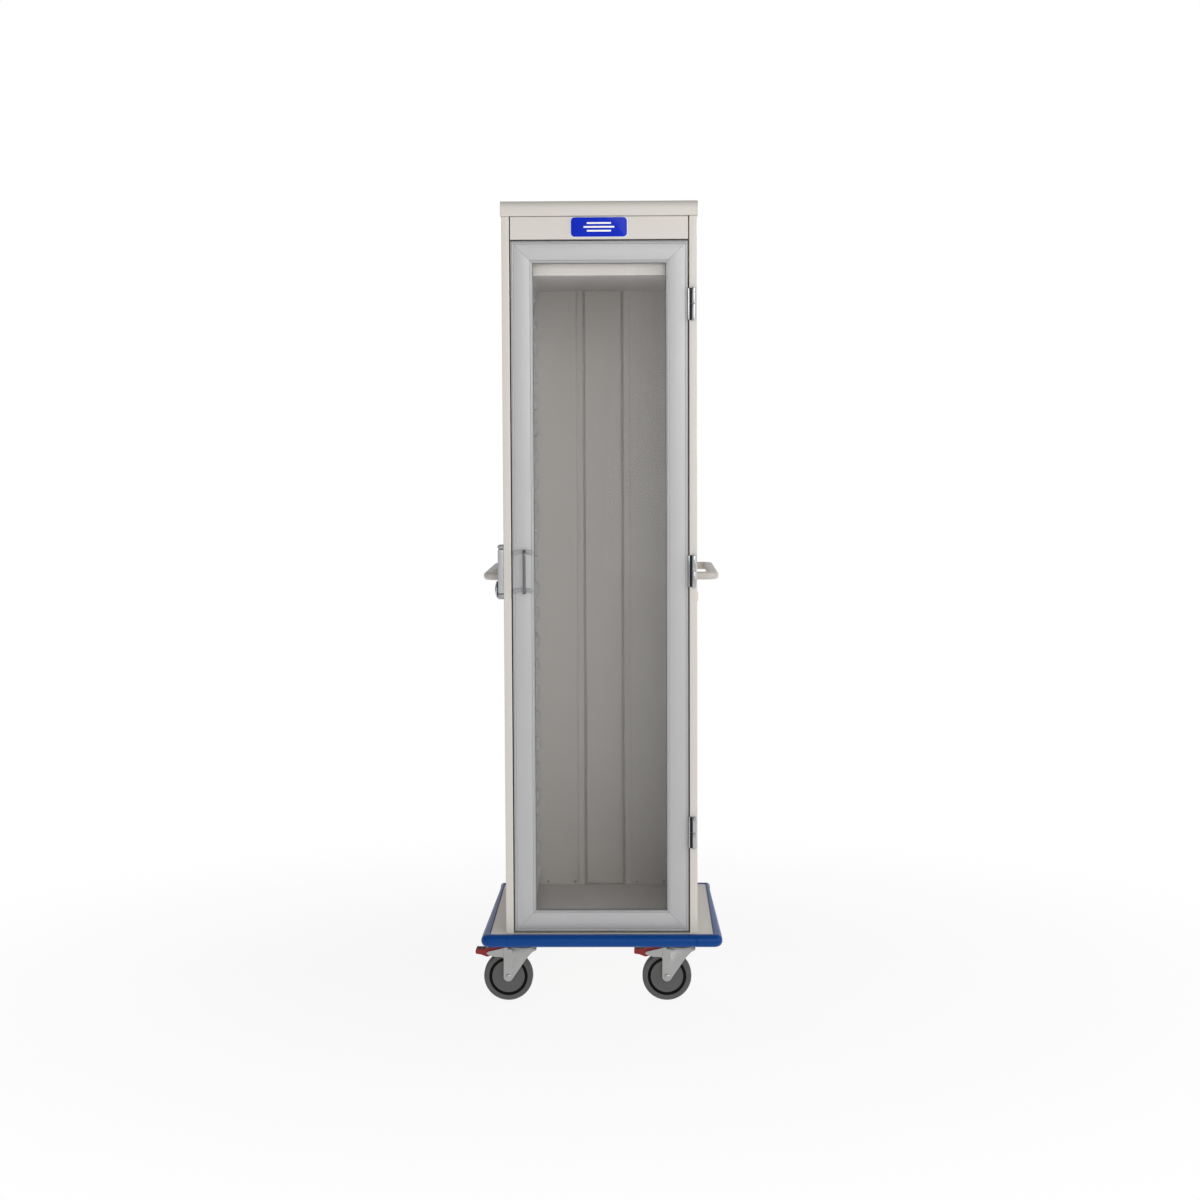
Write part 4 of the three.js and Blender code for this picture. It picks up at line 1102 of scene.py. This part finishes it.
class CABINET_OT_castor_mounts(bpy.types.Operator):
    """Castor plates with round corners, the turned upper race and four bolt heads"""
    bl_idname = "cabinet.castor_mounts"
    bl_label = "Castor mounts"

    def execute(self, context):
        for name in CASTORS:
            centre = castor_centre(name)
            low, high = span(f"{name}_mount")
            plate_low = np.array([low[0], low[1], high[2] - 3.6])
            race = turned([(AXIS_END, 141.3), (29, 141.3), (31.5, 142.0), (34.6, 146.6), (35, 148.2),
                           (34.2, 150.2), (32, 152.4), (AXIS_END, 152.4)], centre, (0, 0, 1))
            bolts = [turned([(AXIS_END, 0), (6.2, 0), (6.8, 1.0), (5.5, 4.2), (AXIS_END, 4.8)],
                            centre + (x, y, high[2] - 3.5), (0, 0, -1))
                     for x in (-43, 43) for y in (-33, 33)]
            plate = rounded_box(plate_low, high, 2, 6, 0.6, 0.6, steps=4)
            finished(f"{name}_plate", "cabinet", "zinc_steel", [plate, race] + bolts,
                     [f"{name}_mount"])
        return {"FINISHED"}


class CABINET_OT_castor_forks(bpy.types.Operator):
    """Pressed fork: between x stations, a U section that runs down to the cheek's outline low(x), which
    is an arc under the axle, slanting edges above it and the level arms; behind the head the top is
    open for the pedal. A crease runs up the leg"""
    bl_idname = "cabinet.castor_forks"
    bl_label = "Castor forks"

    def execute(self, context):
        half, sheet, top, foot_round = 21.0, 3.0, 138.0, 12
        bend, steps = 5.0, 6
        edge = np.array([(-49.3, AXLE_HIGH), (-48.8, 86.0), (-48.6, 106.0), (-49.6, 110.6),
                         (-53.0, 113.2), (-60.0, 113.6), (-71.0, 113.6), (-80.0, 116.2),
                         (-88.0, 119.0), (-92.0, 121.5)])
        foot = arc((-TRAIL, AXLE_HIGH), foot_round, 180, 331, 22)
        front = rounded_outline([(-26.8, 56.7), (9.8, 110), (24, 126), (35, 131), (35.2, 134)],
                                [0, 60, 20, 8, 0], 7)[:-1]
        front = front[(front[:, 0] > -26.7) & (front[:, 0] < 34.9)]
        under = np.concatenate([edge[::-1], foot[1:], front, [(35.0, 131.6)]])
        under[:, 0] += np.linspace(0, 1e-3, len(under))
        for name in CASTORS:
            centre = castor_centre(name)
            x, low = under.T
            behind, ahead = x <= -37.9, x >= -38.2
            ridge = half + 1.4 * np.clip(1 - abs(x + 22) / 34, 0, 1)
            rim = np.interp(x[behind], [-92.0, -88.0, -58.0, -44.0], [124.5, 127.5, 134.0, 137.6])
            parts = [plate_between(x[behind], low[behind], rim, sign * ridge[behind],
                                   sign * (half - sheet)) for sign in (-1.0, 1.0)]
            xs, lows = x[ahead], low[ahead]
            right_out = np.concatenate([arc((half - bend, top - bend), bend, 90, 0, steps),
                                        [(half, np.nan)]])
            right_in = np.concatenate([[(half - sheet, np.nan)],
                                       arc((half - bend, top - bend), bend - sheet, 0, 90, steps)])
            right_in[1:, 1] -= 1.0
            right = np.concatenate([right_out, right_in])
            ring = np.concatenate([right, (right * (-1, 1))[::-1]])
            outer = abs(ring[None, :, 0]) > half - 0.1
            y = ring[None, :, 0] * np.where(outer, ridge[ahead][:, None] / half, 1.0)
            z = np.where(np.isnan(ring[None, :, 1]), lows[:, None], ring[None, :, 1])
            parts.append(grid_part(np.stack([np.broadcast_to(xs[:, None], y.shape), y, z], axis=-1)))
            parts.append(turned([(AXIS_END, 136.5), (35.2, 136.5), (36, 137.4), (36, 138.8),
                                 (34.6, 140.2), (32.0, 141.0), (AXIS_END, 141.0)], (0, 0, 0), (0, 0, 1)))
            for part in parts:
                part["vertices"] = part["vertices"] + centre
            finished(f"{name}_fork_pressing", f"{name}_fork", "zinc_steel", parts, [f"{name}_fork"])
        return {"FINISHED"}


class CABINET_OT_castor_wheels(bpy.types.Operator):
    """Turned wheels: a tread ring with round shoulders, a near-black ring of painted shade in its
    groove, and a disc centre with a shallow dish and a hub"""
    bl_idname = "cabinet.castor_wheels"
    bl_label = "Castor wheels"

    def execute(self, context):
        for name in CASTORS:
            low, high = span(f"{name}_wheel")
            centre = (low + high) / 2
            radius, half = (high - low)[2] / 2, (high - low)[1] / 2
            shoulder = arc((radius - 6, half - 6), 6, 90, 0, 8)
            side = np.concatenate([[(49.0, half - 4), (49.0, half - 1.0), (49.6, half - 0.4)], shoulder])
            tread = np.concatenate([side, (side * (1, -1))[::-1]])
            groove_shade = [(41.0, half - 2.6), (49.4, half - 2.6), (49.4, 2.6 - half), (41.0, 2.6 - half)]
            disc = np.array([(6.2, -1.0), (12.0, 0), (14.0, -0.3), (15.5, -1.6),
                             (30.0, -1.8), (39.8, -1.2), (41.2, -1.1), (41.6, -2.0)]) + (0, half)
            body = np.concatenate([disc, (disc * (1, -1))[::-1]])
            axis = (0, 1, 0)
            finished(f"{name}_tread", f"{name}_wheel", "castor_tyre",
                     [turned(tread, centre, axis, loop=True)], [f"{name}_wheel"])
            # The near-black ring fills the groove between tread and centre: painted shade.
            finished(f"{name}_thread_guard", f"{name}_wheel", "castor_tyre",
                     [turned(groove_shade, centre, axis, loop=True)], finish="painted_shade_groove")
            finished(f"{name}_wheel_disc", f"{name}_wheel", "castor_tyre",
                     [turned(body, centre, axis, loop=True)], finish="castor_centre")
        return {"FINISHED"}


class CABINET_OT_castor_axles(bpy.types.Operator):
    """Riveted axles: a turned shank with a washer and a domed head at each end"""
    bl_idname = "cabinet.castor_axles"
    bl_label = "Castor axles"

    def execute(self, context):
        for name in CASTORS:
            low, high = span(f"{name}_axle")
            centre, reach = (low + high) / 2, (high - low)[1] / 2
            head = np.concatenate([[(5.6, reach - 3.2), (9.6, reach - 3.2), (9.6, reach - 2.2),
                                    (7.6, reach - 2.2)], arc((0, reach - 10.2), 10.9, 47, 89.7, 8)])
            profile = np.concatenate([(head * (1, -1))[::-1], head])
            finished(f"{name}_axle_rivet", f"{name}_fork", "zinc_steel",
                     [turned(profile, centre, (0, 1, 0))], [f"{name}_axle"])
        return {"FINISHED"}


class CABINET_OT_brake_pedals(bpy.types.Operator):
    """Brake pedals: an arm between two curves top(x) and bottom(x), its pivot pin, and a tread pad whose
    ribs follow 0.9 |sin| along its length"""
    bl_idname = "cabinet.brake_pedals"
    bl_label = "Brake pedals"

    def execute(self, context):
        x = np.concatenate([np.linspace(-120.9, -117, 7), np.linspace(-116, -50.5, 60)])
        top = np.interp(x, [-121, -119.6, -117, -98, -88, -55.3, -50.3],
                        [129, 132, 133.5, 133, 136, 138, 134])
        bottom = np.interp(x, [-121, -119.5, -108, -92, -84, -65.3, -50.3],
                           [123, 120.6, 119, 113, 115, 125, 125])
        half, rib_pitch = 15.5, 3.6
        pin_end = np.array([(2.6, 20.4), (2.3, 20.8), (AXIS_END, 20.8)])
        pin_profile = np.concatenate([(pin_end * (1, -1))[::-1], pin_end])
        rib_x = np.linspace(-118.5, -96.5, 89)
        base = np.interp(rib_x, x, top)
        ridges = base + 0.1 + 0.9 * abs(np.sin(rib_x * math.pi / rib_pitch))
        for name in BRAKED:
            centre = castor_centre(name)
            arm = plate_between(x, bottom, top, -half, half)
            pin = turned(pin_profile, (-59.3, 0, 130), (0, 1, 0))
            ribs = plate_between(rib_x, base - 0.6, ridges, -half + 2, half - 2)
            for part in (arm, pin, ribs):
                part["vertices"] = part["vertices"] + centre
            finished(f"{name}_pedal_arm", f"{name}_brake_pedal", "pedal_red", [arm, pin],
                     [f"{name}_brake_pedal"], bevel=1.0)
            finished(f"{name}_pedal_tread", f"{name}_brake_pedal", "pedal_red", [ribs],
                     finish="pedal_dark")
        return {"FINISHED"}


# ---- the stage -----------------------------------------------------------------------------------


def area_light(name, place, target, wide, tall, watts):
    """A rectangular soft box at a place, turned to face a target."""
    light = bpy.data.lights.new(name, "AREA")
    light.shape = "RECTANGLE"
    light.size, light.size_y, light.energy = wide, tall, watts
    lamp = bpy.data.objects.new(name, light)
    towards = np.array(target, float) - np.array(place, float)
    back = -towards / np.linalg.norm(towards)
    right = np.cross((0, 0, 1), back)
    right /= np.linalg.norm(right)
    turn = np.stack([right, np.cross(back, right), back], axis=1)
    matrix = np.eye(4)
    matrix[:3, :3], matrix[:3, 3] = turn, place
    lamp.matrix_world = Matrix(matrix.tolist())
    bpy.context.scene.collection.objects.link(lamp)


class CABINET_OT_stage(bpy.types.Operator):
    """Camera, pale floor, soft boxes and a white surround that is dimmer from one side and from above"""
    bl_idname = "cabinet.stage"
    bl_label = "Stage"

    def execute(self, context):
        scene = context.scene
        pitch, yaw, roll = (math.radians(angle) for angle in (-4.06, -0.91, -0.24))
        eye, focal, film = (0.09637, -5.91318, 1.42624), 67.25, 36.0
        forward = np.array([math.sin(yaw) * math.cos(pitch), math.cos(yaw) * math.cos(pitch),
                            math.sin(pitch)])
        level = np.array([math.cos(yaw), -math.sin(yaw), 0.0])
        upright = np.cross(level, forward)
        right = level * math.cos(roll) + upright * math.sin(roll)
        up = -level * math.sin(roll) + upright * math.cos(roll)
        matrix = np.eye(4)
        matrix[:3, :3] = np.stack([right, up, -forward], axis=1)
        matrix[:3, 3] = eye
        lens = bpy.data.cameras.new("camera")
        lens.sensor_width, lens.lens = film, focal
        camera = bpy.data.objects.new("camera", lens)
        camera.matrix_world = Matrix(matrix.tolist())
        scene.collection.objects.link(camera)
        scene.camera = camera

        reach, rows = 4.0, 9
        line = np.linspace(-reach * 2, reach * 2, rows)
        x, y = np.meshgrid(line, line)
        floor = bpy.data.meshes.new("studio_floor")
        index = np.arange(rows * rows).reshape(rows, rows)
        quads = np.stack([index[:-1, :-1], index[:-1, 1:], index[1:, 1:], index[1:, :-1]], axis=-1)
        points = np.stack([x, y, np.zeros_like(x)], axis=-1)
        floor.from_pydata(points.reshape(-1, 3).tolist(), [], quads.reshape(-1, 4).tolist())
        floor.materials.append(studio_paper("studio_paper", scene.cabinet_colours.floor, reach))
        ground = bpy.data.objects.new("studio_floor", floor)
        scene.collection.objects.link(ground)

        target = (0, 0, 1.0)
        area_light("front_box", (1.3, -4.9, 2.5), target, wide=2.6, tall=2.4, watts=58.0)
        area_light("side_box", (3.4, -1.6, 2.0), target, wide=1.8, tall=2.4, watts=34.0)
        area_light("fill_box", (-3.2, -3.2, 1.6), target, wide=1.2, tall=2.0, watts=12.0)
        even_light, dim_side, dim_top = 0.66, 0.5, 0.45
        world = bpy.data.worlds.new("surround")
        world.use_nodes = True
        tree = world.node_tree
        way = add_node(tree, "ShaderNodeTexCoord").outputs["Generated"]
        axes = add_node(tree, "ShaderNodeSeparateXYZ", inputs={0: way})
        shades = []
        for axis, start, stop, dim in (("X", -0.2, -0.7, dim_side), ("Z", 0.25, 0.95, dim_top)):
            shade = add_node(tree, "ShaderNodeMapRange", {"interpolation_type": "SMOOTHSTEP"}, {
                "Value": axes.outputs[axis], "From Min": start, "From Max": stop,
                "To Min": 1.0, "To Max": dim})
            shades.append(shade.outputs["Result"])
        soft = add_node(tree, "ShaderNodeMath", {"operation": "MULTIPLY"}, {0: shades[0], 1: shades[1]})
        dimmed = add_node(tree, "ShaderNodeMath", {"operation": "MULTIPLY"}, {
            0: soft.outputs[0], 1: even_light})
        seen = add_node(tree, "ShaderNodeLightPath").outputs["Is Camera Ray"]
        power = add_node(tree, "ShaderNodeMix", {"data_type": "FLOAT"}, {
            0: seen, 2: dimmed.outputs[0], 3: 1.0})
        backdrop = tree.nodes["Background"]
        backdrop.inputs["Color"].default_value = WHITE
        tree.links.new(power.outputs[0], backdrop.inputs["Strength"])
        scene.world = world
        scene.view_settings.view_transform = "Standard"
        return {"FINISHED"}


# ---- the panel and the run -----------------------------------------------------------------------

OPERATORS = (
    CABINET_OT_finishes, CABINET_OT_stage, CABINET_OT_top_cap, CABINET_OT_body_panels, CABINET_OT_badge,
    CABINET_OT_inner_panels, CABINET_OT_tray_runners, CABINET_OT_door_frame, CABINET_OT_door_glazing,
    CABINET_OT_door_pull, CABINET_OT_hinges, CABINET_OT_lock, CABINET_OT_push_handles, CABINET_OT_base,
    CABINET_OT_bumpers, CABINET_OT_castor_mounts, CABINET_OT_castor_forks, CABINET_OT_castor_wheels,
    CABINET_OT_castor_axles, CABINET_OT_brake_pedals,
)


class CABINET_PT_panel(bpy.types.Panel):
    """Sizes, colours and the pieces, in the order in which they are built"""
    bl_idname = "CABINET_PT_panel"
    bl_label = "Tray cabinet"
    bl_space_type = "VIEW_3D"
    bl_region_type = "UI"
    bl_category = "Cabinet"

    def draw(self, context):
        for group in (context.scene.cabinet_colours, context.scene.cabinet_sizes):
            box = self.layout.box()
            for name in group.bl_rna.properties.keys():
                if name not in {"rna_type", "name"}:
                    box.prop(group, name)
        for operator in OPERATORS:
            self.layout.operator(operator.bl_idname)


CLASSES = (CabinetColours, CabinetSizes, *OPERATORS, CABINET_PT_panel)


def register():
    """Adds the panel, its settings and the operators."""
    for item in CLASSES:
        bpy.utils.register_class(item)
    bpy.types.Scene.cabinet_colours = PointerProperty(type=CabinetColours)
    bpy.types.Scene.cabinet_sizes = PointerProperty(type=CabinetSizes)


def unregister():
    """Takes out what register put in."""
    del bpy.types.Scene.cabinet_sizes, bpy.types.Scene.cabinet_colours
    for item in reversed(CLASSES):
        bpy.utils.unregister_class(item)


def main():
    register()
    for operator in OPERATORS:
        getattr(bpy.ops.cabinet, operator.bl_idname.split(".")[1])()


if __name__ == "__main__":
    main()
